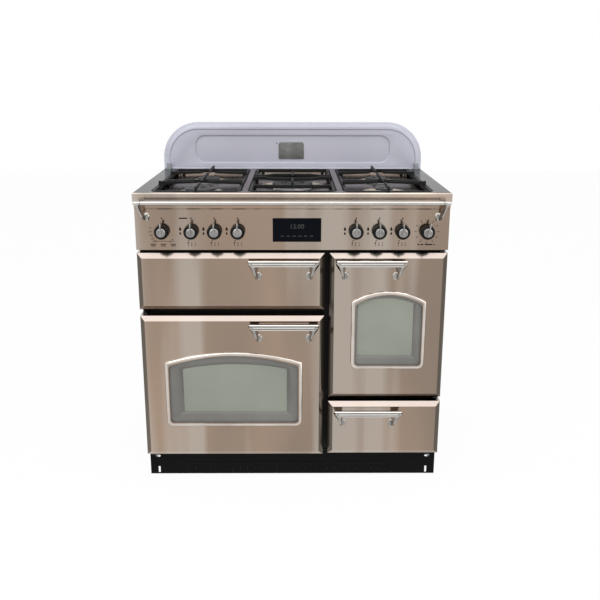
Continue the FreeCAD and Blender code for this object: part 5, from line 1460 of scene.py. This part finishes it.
@dataclass(frozen=True)
class PanSupports:
    """The three cast pan supports: a rounded frame, cross bars and arms that rise towards each burner."""

    bar_width: float = 0.009
    bar_height: float = 0.011
    bar_round: float = 0.0018
    arm_width: float = 0.0066
    arm_rise: float = 0.012
    arm_round: float = 0.0012
    post: float = 0.0085
    post_round: float = 0.0022
    foot_round: float = 0.0015
    taper: float = 0.8
    corner: float = 0.020
    foot_inset: float = 0.018
    side_gap: float = 0.020
    wok_gap: float = 0.034
    well_floor: float = 0.882
    bar_top: float = 0.902

    ring_mouth: float = 0.021
    ring_half: float = 0.050
    ring_start: float = 0.088
    ring_flat: float = 0.056
    ring_width: float = 1.15

    # an arm's shape, as shares of its run, rise, depth and width
    ARM = ((0.00, 0.92, 0.9, 1.05), (0.45, 0.96, 0.84, 1.0), (0.80, 1.0, 0.76, 0.95), (1.0, 0.82, 0.50, 0.8))

    @property
    def bar_low(self) -> float:
        """Height of the bars' underside."""
        return self.bar_top - self.bar_height

    def build(self, cooker: Cooker, burners: Burners) -> None:
        """Builds the castings over their burners.

        Args:
            cooker: The cooker to fit them to.
            burners: The burners that they stand over.
        """
        for side in ("left", "centre", "right"):
            node = f"pan_support_{side}"
            low, high = cooker.span(node)
            own = sorted((burner for burner in burners.all if low.x < burner.x < high.x), key=lambda b: b.y)
            solids = [self._frame(low, high), *self._feet(low, high), *self._inside(low, high, own)]
            cooker.fit(assembled(f"{node}_casting", solids), f"{side}_grate", CAST_IRON, [node])

    def _inside(self, low: Vector, high: Vector, own: Sequence[Burner]) -> list[Piece]:
        """Fills a frame with its cross bars, arms and posts.

        Args:
            low: The frame's lowest corner.
            high: Its highest corner.
            own: The burners under it, from the front.

        Returns:
            The solids.
        """
        inset = self.bar_width / 2
        near, far, left, right = low.y + inset, high.y - inset, low.x + inset, high.x - inset
        alone = len(own) == 1
        if alone:
            reach, gap = (right - left) / 2, self.wok_gap
            lines = [own[0].y - reach, own[0].y + reach]
        else:
            lines, gap = [near, sum(burner.y for burner in own) / 2, far], self.side_gap
        solids = [self._bar(left, right, y) for y in lines if near + 0.01 < y < far - 0.01]
        for burner, front, back in zip(own, lines, lines[1:]):
            at = (burner.x, burner.y)
            starts, posts = [(burner.x, front), (burner.x, back)], []
            if alone:
                solids += [self._ring_bar(left, right, at, side) for side in (-1, 1)]
                posts = [(x, burner.y + side * self.ring_mouth) for x in (left, right) for side in (-1, 1)]
            else:
                starts += [(left, burner.y), (right, burner.y)]
            solids += [self._arm(start, at, gap) for start in starts]
            solids += [self._post(*place) for place in (*starts, *posts)]
        return solids

    def _frame(self, low: Vector, high: Vector) -> Piece:
        """Draws the rounded frame, opens it, raises it and softens its edges.

        Args:
            low: The casting's lowest corner.
            high: Its highest corner.

        Returns:
            The frame.
        """
        outline = rounded_outline(low.xy, high.xy, [self.corner] * 4, 6)
        frame = Bench.outline("frame", level(outline, self.bar_low)).inset(self.bar_width).cut_faces()
        frame.faces().extrude((0.0, 0.0, self.bar_height))
        return edged(frame.done(smooth=60), self.bar_round, 3, smooth=60)

    def _bar(self, left: float, right: float, y: float) -> Piece:
        """Lays a straight cross bar with softened edges.

        Args:
            left: X of its left end.
            right: X of its right end.
            y: Y of its middle.

        Returns:
            The bar.
        """
        half = self.bar_width / 2
        bar = Bench.block("cross_bar", (left, y - half, self.bar_low), (right, y + half, self.bar_top))
        return edged(bar.done(smooth=60), self.bar_round, 3)

    def _post(self, x: float, y: float) -> Piece:
        """Stands a rounded post where a raised arm meets a bar.

        Args:
            x: The post's X.
            y: The post's Y.

        Returns:
            The post.
        """
        half = self.post / 2
        low, high = (x - half, y - half, self.bar_low + 0.001), (x + half, y + half, self.bar_top + self.arm_rise)
        post = Bench.block("post", low, high).corners(lambda at, _: at.z > self.bar_top)
        post.scale((self.taper, self.taper, 1.0), (x, y, self.bar_top))
        return edged(post.done(smooth=60), self.post_round, 3)

    def _ring_bar(self, left: float, right: float, centre: Flat, side: int) -> Piece:
        """Runs a bar across the casting that swings out round the wok burner and back.

        Args:
            left: X of its left end.
            right: X of its right end.
            centre: The burner's middle.
            side: -1 for the front bar, 1 for the rear one.

        Returns:
            The bar.
        """
        half, deep = self.arm_width / 2, self.bar_height * 0.42
        z = self.bar_top + self.arm_rise - deep
        near, far = centre[1] + side * self.ring_mouth, centre[1] + side * self.ring_half
        mouth, flat = self.ring_start, self.ring_flat
        bends = ((-mouth, near), (-flat, far), (flat, far), (mouth, near))
        ring = [(centre[0] + x, y, self.ring_width) for x, y in bends]
        plan = [(left, near, 1.0), *ring, (right, near, 1.0)]
        sections = [Section((x, y, z), (half * width, deep)) for x, y, width in plan]
        return edged(limb("ring_bar", RIGHTWARD, sections).done(smooth=60), self.arm_round, 2, 50, 60)

    def _arm(self, start: Flat, centre: Flat, gap: float) -> Piece:
        """Grows an arm from the frame or a bar towards a burner, where it stops short of the middle.

        Args:
            start: Where the arm starts.
            centre: The burner's middle.
            gap: How far from the middle the arm stops.

        Returns:
            The arm.
        """
        run = Vector((centre[0] - start[0], centre[1] - start[1], 0.0))
        reach, way = run.length - gap, run.normalized()
        half, deep = self.arm_width / 2, self.bar_height / 2
        sections = []
        for share, rise, depth, width in self.ARM:
            at = Vector((start[0], start[1], 0.0)) + way * (reach * share)
            z = self.bar_top + self.arm_rise * rise - deep * depth
            sections.append(Section((at.x, at.y, z), (half * width, deep * depth)))
        return edged(limb("arm", way, sections).done(smooth=60), self.arm_round, 2, 50, 60)

    def _feet(self, low: Vector, high: Vector) -> list[Piece]:
        """Stands the casting on tapered feet.

        Args:
            low: The casting's lowest corner.
            high: Its highest corner.

        Returns:
            The feet: near each corner and in the middle of each side.
        """
        half, feet = self.bar_width / 2, []
        places = ((low.y + half, self.foot_inset), (middle(low, high).y, 0.0), (high.y - half, self.foot_inset))
        for edge, side in ((low.x + half, 1), (high.x - half, -1)):
            for y, inset in places:
                x = edge + side * inset
                top = self.bar_top - 0.002
                foot = Bench.block("foot", (x - half, y - half, self.well_floor), (x + half, y + half, top))
                foot.corners(lambda at, _: at.z < self.well_floor + 0.001)
                foot.scale((self.taper, self.taper, 1.0), (x, y, self.well_floor))
                feet.append(edged(foot.done(smooth=60), self.foot_round))
        return feet


@dataclass(frozen=True)
class Backguard:
    """The enamelled splashback: a rounded rim, a field a little behind it and a recessed panel."""

    corner: float = 0.123
    rim: float = 0.022
    rim_round: float = 0.0205
    field_step: float = 0.0032
    recess_margin: float = 0.113
    recess_low: float = 0.022
    recess_high: float = 0.115
    recess_corner: float = 0.034
    recess_depth: float = 0.0085
    hollow: float = 0.012
    clear: float = 0.01

    def build(self, cooker: Cooker) -> None:
        """Presses the backguard out of its outline.

        Args:
            cooker: The cooker to fit it to.
        """
        low, high = cooker.span("backguard")
        outline = rounded_outline((low.x, low.z), (high.x, high.z), (0, 0, self.corner, self.corner), 20)
        bench = Bench.outline("backguard_pressing", upright(outline, high.y)).extrude((0.0, low.y - high.y, 0.0))
        bench.edges(lambda at, _: at.y < low.y + 1e-5 and at.z > low.z + NEAR).round_edges(self.rim_round, 5)
        bench.faces(lambda _, way: way.y > SQUARE_ON).inset(self.rim).inset(0.0004, -self.hollow)
        bench.faces(lambda at, way: way.y < -SQUARE_ON and at.y < low.y + 0.001)
        bench.inset(self.rim - self.rim_round).inset(0.003, -self.field_step)
        pressing = bench.done(smooth=40)
        recess = rounded_outline(
            (low.x + self.recess_margin, low.z + self.recess_low),
            (high.x - self.recess_margin, low.z + self.recess_high), [self.recess_corner] * 4, 10,
        )
        cutter = Bench.outline("cutter", upright(recess, low.y - self.clear))
        carved(pressing, cutter.extrude((0.0, self.clear + self.recess_depth, 0.0)).done())
        cooker.fit(edged(pressing, 0.0012, 3, 60, 40), "cooker", WHITE_ENAMEL, ["backguard"])


@dataclass(frozen=True)
class Badge:
    """The bare chrome plate on the backguard, with a raised edge and a screw beside it."""

    arch: float = 0.003
    corner: float = 0.009
    low_corner: float = 0.002
    edge: float = 0.0035
    sunk: float = 0.0008
    screw_radius: float = 0.0028
    screw_gap: float = 0.006

    def build(self, cooker: Cooker) -> None:
        """Shapes the plate and its screw.

        Args:
            cooker: The cooker to fit them to.
        """
        low, high = cooker.span("badge_plate")
        radii = (self.low_corner, self.low_corner, self.corner, self.corner)
        outline = rounded_outline((low.x, low.z), (high.x, high.z - self.arch), radii, 6)
        bench = Bench.outline("plate", upright(outline, high.y)).extrude((0.0, low.y - high.y, 0.0))
        bench.faces(lambda _, way: way.y < -0.9).inset(self.edge).inset(0.0008, -self.sunk)
        plate = edged(bench.done(smooth=40), 0.0006, smooth=45)
        at, r = Vector((low.x - self.screw_gap, high.y, high.z - self.screw_gap)), self.screw_radius
        profile = [(r, 0.0), (r, 0.0008), (r * 0.8, 0.0016), (r * 0.4, 0.0019)]
        screw = turned("screw", at, FRONTWARD, profile, 24).done(smooth=50)
        cooker.fit(assembled("badge_plate_piece", [plate, screw]), "cooker", BADGE_CHROME, ["badge_plate"])


@dataclass(frozen=True)
class DoorTrim:
    """What finishes a glazed door: a half-round bead round its window and the glass's printed border."""

    lap: float = 0.006
    field_depth: float = 0.006
    bead_width: float = 0.0126
    bead_lap: float = 0.0006
    bead_proud: float = 0.0072
    bead_steps: int = 10
    print_margin: float = 0.0008
    print_depth: float = 0.0004
    radius: float = 0.007
    rise: float = 0.031

    # how far the printed border reaches in from the left, the right, the bottom and the top
    BORDERS = {"main": (0.041, 0.034, 0.035, 0.026), "side": (0.0065, 0.0245, 0.030, 0.010)}

    def build(self, cooker: Cooker) -> None:
        """Trims both glazed doors.

        Args:
            cooker: The cooker to fit the trim to.
        """
        for door, border in self.BORDERS.items():
            low, high = cooker.span(f"{door}_door_glass")
            face = cooker.span(f"{door}_door_panel")[0].y + self.field_depth
            window = (low.x + self.lap, low.z + self.lap), (high.x - self.lap, high.z - self.lap)
            cooker.fit(self._bead(*window, face), f"{door}_oven_door", BRIGHT_STEEL)
            sheet = self._border(*window, low.y, border)
            sheet.name = sheet.data.name = f"{door}_glass_border"
            cooker.fit(sheet, f"{door}_oven_door", GLASS_BORDER)

    def _bead(self, low: Flat, high: Flat, face: float) -> Piece:
        """Raises a half-round bead by insetting the window's outline in steps.

        Args:
            low: The window's lower left corner.
            high: Its right side and the top of its arch.
            face: Y of the door's face.

        Returns:
            The bead, open at its back.
        """
        grow = self.bead_width - self.bead_lap
        outer = (low[0] - grow, low[1] - grow), (high[0] + grow, high[1] + grow)
        points = arched_outline(*outer, self.rise, self.radius + grow, 24)
        bench = Bench.outline("bead", upright(points, face + self.bead_lap / 2))
        sign = 1.0 if bmesh.from_edit_mesh(bench.piece.data).faces[:][0].normal.y < 0 else -1.0
        across = height = 0.0
        for step in range(1, self.bead_steps + 1):
            angle = math.pi * step / self.bead_steps
            next_across, next_height = (1 - math.cos(angle)) / 2 * self.bead_width, math.sin(angle) * self.bead_proud
            bench.inset(next_across - across, sign * (next_height - height))
            across, height = next_across, next_height
        bead = bench.cut_faces().done(smooth=60, closed=False)
        self._face_front(bead)
        return bead

    def _border(self, low: Flat, high: Flat, glass: float, border: tuple[float, float, float, float]) -> Piece:
        """Cuts the clear part out of a thin plate in front of the glass.

        Args:
            low: The window's lower left corner.
            high: Its right side and the top of its arch.
            glass: Y of the glass's face.
            border: How far it reaches in from the left, the right, the bottom and the top.

        Returns:
            The border.
        """
        margin, (left, right, bottom, top) = self.print_margin, border
        outer = arched_outline(
            (low[0] + margin, low[1] + margin), (high[0] - margin, high[1] - margin), self.rise, self.radius, 24
        )
        sheet = Bench.outline("border", upright(outer, glass - NEAR)).extrude((0.0, -self.print_depth, 0.0))
        plate = sheet.done(smooth=30)
        inner = arched_outline(
            (low[0] + left, low[1] + bottom), (high[0] - right, high[1] - top), self.rise * 0.5, 0.004, 16
        )
        cutter = Bench.outline("cutter", upright(inner, glass + 0.01)).extrude((0.0, -0.02, 0.0))
        return carved(plate, cutter.done())

    @staticmethod
    def _face_front(bead: Piece) -> None:
        """Turns an open bead's faces towards the front.

        Args:
            bead: The bead.
        """
        take_up(bead)
        bpy.ops.object.mode_set(mode="EDIT")
        bpy.ops.mesh.select_all(action="SELECT")
        if sum(face.normal.y * face.calc_area() for face in bmesh.from_edit_mesh(bead.data).faces) > 0:
            bpy.ops.mesh.flip_normals()
        bpy.ops.object.mode_set(mode="OBJECT")


class Press:
    """Prints thin marks on one upright face and keeps them."""

    FLAME = ((0.0, 0.62), (-0.24, 0.14), (-0.32, -0.16), (-0.16, -0.42), (0.16, -0.42), (0.32, -0.16), (0.2, 0.1))

    def __init__(self, face: float, thickness: float) -> None:
        """Sets up a press for the face at this Y, with ink this thick."""
        self.face, self.thickness = face, thickness
        self.marks: list[Piece] = []

    def _print(self, bench: Bench) -> None:
        """Raises a flat mark and keeps it."""
        self.marks.append(bench.faces().extrude((0.0, -self.thickness, 0.0)).done(smooth=20))

    def bar(self, x: float, z: float, width: float, height: float, turn: float = 0.0) -> None:
        """Prints a small bar, turned clockwise about its own middle.

        Args:
            x: X of its middle.
            z: Z of its middle.
            width: Its width.
            height: Its height.
            turn: Its turn.
        """
        cos, sin = math.cos(turn), math.sin(turn)
        corners = [(width / 2 * u, height / 2 * v) for u, v in ((-1, -1), (1, -1), (1, 1), (-1, 1))]
        points = [(x + u * cos + v * sin, z - u * sin + v * cos) for u, v in corners]
        self._print(Bench.outline("mark", upright(points, self.face)))

    def dot(self, x: float, z: float, radius: float) -> None:
        """Prints a dot."""
        self._print(Bench.disc("dot", (x, self.face, z), radius, FRONTWARD, 14))

    def flame(self, x: float, z: float, size: float) -> None:
        """Prints a small flame: a drop with a point on top."""
        points = [(x + u * size, z + v * size) for u, v in self.FLAME]
        self._print(Bench.outline("flame", upright(points, self.face)))

    def key(self, x: float, z: float, width: float, height: float) -> None:
        """Prints a touch key as a small open frame.

        Args:
            x: X of its middle.
            z: Z of its middle.
            width: Its width.
            height: Its height.
        """
        half = Vector((width, height)) / 2
        outline = rounded_outline((x - half.x, z - half.y), (x + half.x, z + half.y), [0.0012] * 4, 3)
        self._print(Bench.outline("key", upright(outline, self.face)).inset(0.0009).cut_faces())

    def figures(self, words: str, x: float, z: float, height: float) -> None:
        """Prints plain figures.

        Args:
            words: The figures.
            x: X of their middle.
            z: Z of their middle.
            height: How tall they are.
        """
        put_down_all()
        bpy.ops.object.text_add(location=(x, self.face, z), rotation=(math.pi / 2, 0.0, 0.0))
        text = bpy.context.object
        text.data.body = words
        text.data.align_x = text.data.align_y = "CENTER"
        text.data.size = height * 1.4
        text.data.extrude = self.thickness
        text.data.resolution_u = 2
        bpy.ops.object.convert(target="MESH")
        apply_place()
        self.marks.append(text)


@dataclass(frozen=True)
class Clock:
    """The timer's faint figures and touch keys on the black glass."""

    digit_height: float = 0.0135
    digit_rise: float = 0.044
    key_count: int = 6
    key_size: Flat = (0.0095, 0.0036)
    key_pitch: float = 0.0165
    key_rise: float = 0.0165
    thickness: float = 0.00012

    def build(self, cooker: Cooker) -> None:
        """Prints the figures and keys on the CAD display.

        Args:
            cooker: The cooker to fit them to.
        """
        low, high = cooker.span("clock_display")
        mid, press = middle(low, high).x, Press(low.y, self.thickness)
        press.figures("12:00", mid, low.z + self.digit_rise, self.digit_height)
        for index in range(self.key_count):
            shift = (index - (self.key_count - 1) / 2) * self.key_pitch
            press.key(mid + shift, low.z + self.key_rise, *self.key_size)
        cooker.fit(assembled("clock_print", press.marks), "cooker", DISPLAY_INK)


@dataclass(frozen=True)
class PanelPrint:
    """The generic marks printed round the knobs, in thin ink."""

    thickness: float = 0.00015
    field_step: float = 0.003
    tick: Flat = (0.0040, 0.0018)
    top_radius: float = 0.0375
    row_drop: float = 0.037

    def build(self, cooker: Cooker, knobs: Knobs) -> None:
        """Prints the marks of every knob on the panel's lower field.

        Args:
            cooker: The cooker to fit them to.
            knobs: The knobs that they belong to.
        """
        press = Press(cooker.span("control_panel")[0].y + self.field_step, self.thickness)
        for number in knobs.GAS:
            self._gas_marks(press, knobs.axis(number))
        self._thermostat_marks(press, knobs.axis(1))
        self._function_marks(press, knobs.axis(2))
        self._ring_marks(press, knobs.axis(8))
        cooker.fit(assembled("panel_print", press.marks), "cooker", PRINTED_INK)

    @staticmethod
    def _around(axis: Vector, degrees: float, radius: float) -> Flat:
        """Gives a place on a circle round a knob, clockwise from the top."""
        turn = math.radians(degrees)
        return axis.x + radius * math.sin(turn), axis.z + radius * math.cos(turn)

    def _gas_marks(self, press: Press, axis: Vector) -> None:
        """Prints a gas knob's off mark, two flames, its low mark and the burner's place under it.

        Args:
            press: The press.
            axis: The knob's axis.
        """
        press.dot(*self._around(axis, 0, self.top_radius), 0.0021)
        press.flame(axis.x - 0.0315, axis.z + 0.007, 0.0115)
        press.flame(axis.x - 0.0315, axis.z - 0.006, 0.0090)
        press.dot(*self._around(axis, 196, 0.0285), 0.0018)
        row = axis.z - self.row_drop
        for x, radius in ((axis.x - 0.01, 0.0023), (axis.x, 0.0014), (axis.x + 0.01, 0.0014)):
            press.dot(x, row + 0.0032, radius)
            press.dot(x, row - 0.0032, 0.0015)
        press.bar(axis.x, row, 0.0009, 0.0095)

    def _thermostat_marks(self, press: Press, axis: Vector) -> None:
        """Prints a fan of temperatures at the left, a bracket line and three groups under it.

        Args:
            press: The press.
            axis: The knob's axis.
        """
        press.dot(*self._around(axis, 0, self.top_radius), 0.0021)
        for figure, degrees in zip(range(250, 0, -50), range(214, 287, 18)):
            press.figures(str(figure), *self._around(axis, degrees, 0.0345), 0.0048)
        for degrees in (130, 145):
            press.bar(*self._around(axis, degrees, self.top_radius), *self.tick, math.radians(degrees))
        line = axis.z - 0.0285
        press.bar(axis.x + 0.002, line, 0.064, 0.0010)
        for offset in (-0.0265, 0.002, 0.0305):
            press.bar(axis.x + offset, line - 0.0090, 0.0160, 0.0024)
            press.bar(axis.x + offset, line - 0.0138, 0.0125, 0.0024)

    def _function_marks(self, press: Press, axis: Vector) -> None:
        """Prints the second knob's marks: like a gas knob's, with a heading bar."""
        self._gas_marks(press, axis)
        press.bar(axis.x - 0.022, axis.z + self.top_radius, 0.0235, 0.0036)

    def _ring_marks(self, press: Press, axis: Vector) -> None:
        """Prints a ring of ticks round the last knob and a word-like bar under it.

        Args:
            press: The press.
            axis: The knob's axis.
        """
        for degrees in range(30, 331, 30):
            press.bar(*self._around(axis, degrees, 0.0285), 0.0012, 0.0028, math.radians(degrees))
            press.dot(*self._around(axis, degrees, 0.0335), 0.0016)
        for offset, width in ((-0.0225, 0.006), (-0.0125, 0.008), (0.006, 0.022), (0.022, 0.004)):
            press.bar(axis.x + offset, axis.z - self.row_drop - 0.001, width, 0.0034)


@dataclass(frozen=True)
class VentScreen:
    """The fine dark louvres behind the plinth's upright vents."""

    low: float = 0.008
    high: float = 0.036
    sheet: float = 0.0015
    gap: float = 0.0006
    blade: float = 0.0016
    pitch: float = 0.0048
    tilt: float = 0.003
    end: float = 0.102

    def build(self, cooker: Cooker) -> None:
        """Lays tilted blades one over another behind the vents, between two thin end plates.

        Args:
            cooker: The cooker to fit them to.
        """
        low, high = cooker.span("plinth")
        front = low.y + 2 * self.sheet + self.gap
        left, right = low.x + self.end, high.x - self.end
        first = Bench.block("blade", (left, front, self.low), (right, front + self.blade, self.low + self.pitch))
        first.corners(lambda at, _: at.z > self.low + NEAR).move((0.0, self.tilt, 0.0))
        blade = edged(first.done(smooth=30), 0.0002, 1)
        solids = [blade]
        for number in range(1, round((self.high - self.low) / self.pitch)):
            solids.append(copied(blade, "blade", (0.0, 0.0, number * self.pitch)))
        back = front + self.blade + self.tilt
        for x in (left, right - self.blade):
            plate = Bench.block("end_plate", (x, front, self.low), (x + self.blade, back, self.high))
            solids.append(plate.done(smooth=30))
        cooker.fit(assembled("plinth_louvres", solids), "cooker", BLACK_PAINT)


@dataclass(frozen=True)
class Lamp:
    """A soft rectangular lamp: its place, the point that it faces, its power and its size."""

    name: str
    at: Point
    target: Point
    power: float
    size: Flat

    def hang(self) -> None:
        """Hangs the lamp."""
        bpy.ops.object.light_add(type="AREA", location=self.at)
        lamp = bpy.context.object
        lamp.name = lamp.data.name = f"{self.name}_lamp"
        lamp.data.shape = "RECTANGLE"
        lamp.data.size, lamp.data.size_y = self.size
        lamp.data.energy = self.power
        lamp.rotation_euler = (Vector(self.target) - Vector(self.at)).to_track_quat("-Z", "Y").to_euler()


@dataclass(frozen=True)
class Studio:
    """A white studio: the camera at the photo's angle, soft lamps, and a pale floor."""

    camera_at: Point = (0.0053, -2.515, 1.226)
    down: float = 15.896
    turn: float = -0.427
    roll: float = 0.10
    lens: float = 48.05
    floor_size: float = 16.0
    floor_white: float = 0.96
    lamps: tuple[Lamp, ...] = (
        Lamp("key", (-1.9, -2.4, 2.4), (0.0, 0.0, 0.55), 30.0, (2.4, 2.4)),
        Lamp("fill", (2.3, -2.0, 1.8), (0.0, 0.0, 0.55), 20.0, (2.4, 2.4)),
        Lamp("top", (0.0, -1.3, 3.0), (0.0, -0.3, 0.7), 34.0, (3.2, 2.1)),
    )

    WHITE = (1.0, 1.0, 1.0)

    def build(self) -> None:
        """Sets up camera, world, lamps and floor."""
        self._camera()
        self._world()
        for lamp in self.lamps:
            lamp.hang()
        self._floor()
        bpy.context.scene.view_settings.view_transform = "Standard"

    def _camera(self) -> None:
        """Places the camera."""
        bpy.ops.object.camera_add(location=self.camera_at)
        camera = bpy.context.object
        camera.name = "photo_camera"
        camera.data.lens, camera.data.sensor_width, camera.data.clip_end = self.lens, 36.0, 50.0
        turns = ((self.turn, "Z"), (90 - self.down, "X"), (self.roll, "Z"))
        turn, down, roll = (Matrix.Rotation(math.radians(degrees), 3, axis) for degrees, axis in turns)
        camera.rotation_euler = (turn @ down @ roll).to_euler()
        bpy.context.scene.camera = camera

    @staticmethod
    def _shows_white(w: Wiring) -> Socket:
        """Gives 1 where the camera, metal or glass looks straight at the backdrop, and 0 elsewhere.

        Args:
            w: The material's or the world's wiring.

        Returns:
            The mask.
        """
        seen = w.node("ShaderNodeLightPath").outputs
        mirrored = w.maths("MAXIMUM", seen["Is Glossy Ray"], seen["Is Transmission Ray"])
        return w.maths("MAXIMUM", seen["Is Camera Ray"], mirrored)

    @staticmethod
    def _mixed(w: Wiring, share: Socket, first: bpy.types.Node, second: bpy.types.Node) -> Socket:
        """Mixes two shaders."""
        mix = w.node("ShaderNodeMixShader")
        return w.feed(mix, i0=share, i1=first.outputs[0], i2=second.outputs[0]).outputs[0]

    def _world(self) -> None:
        """Shows plain white to the camera, metal and glass, and lights the rest with a soft gradient."""
        world = bpy.context.scene.world or bpy.data.worlds.new("studio_world")
        bpy.context.scene.world = world
        world.use_nodes = True
        world.node_tree.nodes.clear()
        w = Wiring(world.node_tree)
        height = w.ramp(w.axis(w.node("ShaderNodeTexCoord").outputs["Generated"], 2), -0.3, 0.9)
        sky = w.blend(height, (0.45, 0.45, 0.46), (0.86, 0.87, 0.89))
        soft = w.feed(w.node("ShaderNodeBackground"), Color=sky, Strength=0.8)
        white = w.feed(w.node("ShaderNodeBackground"), Color=self.WHITE, Strength=1.0)
        w.feed(w.node("ShaderNodeOutputWorld"), Surface=self._mixed(w, self._shows_white(w), soft, white))

    def _floor(self) -> None:
        """Lays a pale floor that keeps a soft shadow under the cooker."""
        bpy.ops.mesh.primitive_plane_add(size=self.floor_size)
        floor = bpy.context.object
        floor.name = floor.data.name = "studio_floor"
        material = bpy.data.materials.new("studio_white")
        material.use_nodes = True
        w = Wiring(material.node_tree)
        matt = material.node_tree.nodes["Principled BSDF"]
        w.feed(matt, Base_Color=(0.93, 0.93, 0.93), Roughness=0.9, Specular_IOR_Level=0.1)
        glow = w.feed(w.node("ShaderNodeEmission"), Color=self.WHITE, Strength=1.0)
        share = w.maths("MULTIPLY", self._shows_white(w), self.floor_white)
        w.feed(material.node_tree.nodes["Material Output"], Surface=self._mixed(w, share, matt, glow))
        floor.data.materials.append(material)


def dress_frame(cooker: Cooker) -> None:
    """Paints the CAD nodes that stay in sight, each with the finish of the real thing.

    Args:
        cooker: The cooker to dress.
    """
    cooker.dress(DOOR_STEEL, "grill_door_panel", "main_door_panel", "side_door_panel", "drawer_front",
                 "control_panel", bevel=0.0005)
    cooker.dress(HOB_STEEL, "hob_top", bevel=0.0005)
    cooker.dress(SIDE_ENAMEL, "side_panels")
    # near-black frame: painted shade in the gaps between the doors
    cooker.dress(GAP_SHADE_FRAME, "front_frame")
    cooker.dress(GALVANISED, "base_tray", "rear_panel", "backguard_brackets", "drawer_housing",
                 "drawer_box", "grill_door_liner", "main_door_liner", "side_door_liner",
                 "oven_switches", bevel=0.0003)
    cooker.dress(DARK_ZINC, "door_hinges")
    cooker.dress(RUBBER, "levelling_feet")
    cooker.dress(BLACK_PAINT, "plinth")
    cooker.dress(BLACK_PLASTIC, "cable_gland")
    cooker.dress(CERAMIC, "spark_electrodes")
    cooker.dress(DISPLAY_GLASS, "clock_display", bevel=0.0006)
    cooker.dress(BRASS, "gas_taps", *[f"tap_spindle_{number}" for number in Knobs.GAS])
    cooker.dress(PIPE_ALLOY, "gas_pipes", bevel=0.0)
    cooker.dress(OVEN_ENAMEL, "grill_cavity", "main_oven_cavity", "side_oven_cavity", "grill_pan")
    cooker.dress(WOVEN_SEAL, "door_seals")
    cooker.dress(CHROME, "shelf_guides", "oven_shelves", bevel=0.0)
    cooker.dress(ELEMENT_STEEL, "heating_elements", bevel=0.0)
    cooker.dress(OVEN_GLASS, "main_door_glass", "side_door_glass", bevel=0.0)


def main() -> None:
    """Builds the cooker round its frame and sets up the studio."""
    logging.basicConfig(level=logging.INFO, format="%(message)s")
    cooker = Cooker()
    knobs, burners = Knobs(), Burners()
    dress_frame(cooker)
    burners.build(cooker)
    PanSupports().build(cooker, burners)
    Backguard().build(cooker)
    Badge().build(cooker)
    knobs.build(cooker)
    PanelPrint().build(cooker, knobs)
    for part in (Clock(), TowelRail(), Handles(), DoorTrim(), VentScreen()):
        part.build(cooker)
    for piece in cooker.added:
        LOG.info("%s: %d faces", piece.name, len(piece.data.polygons))
    Studio().build()


if __name__ == "__main__":
    main()
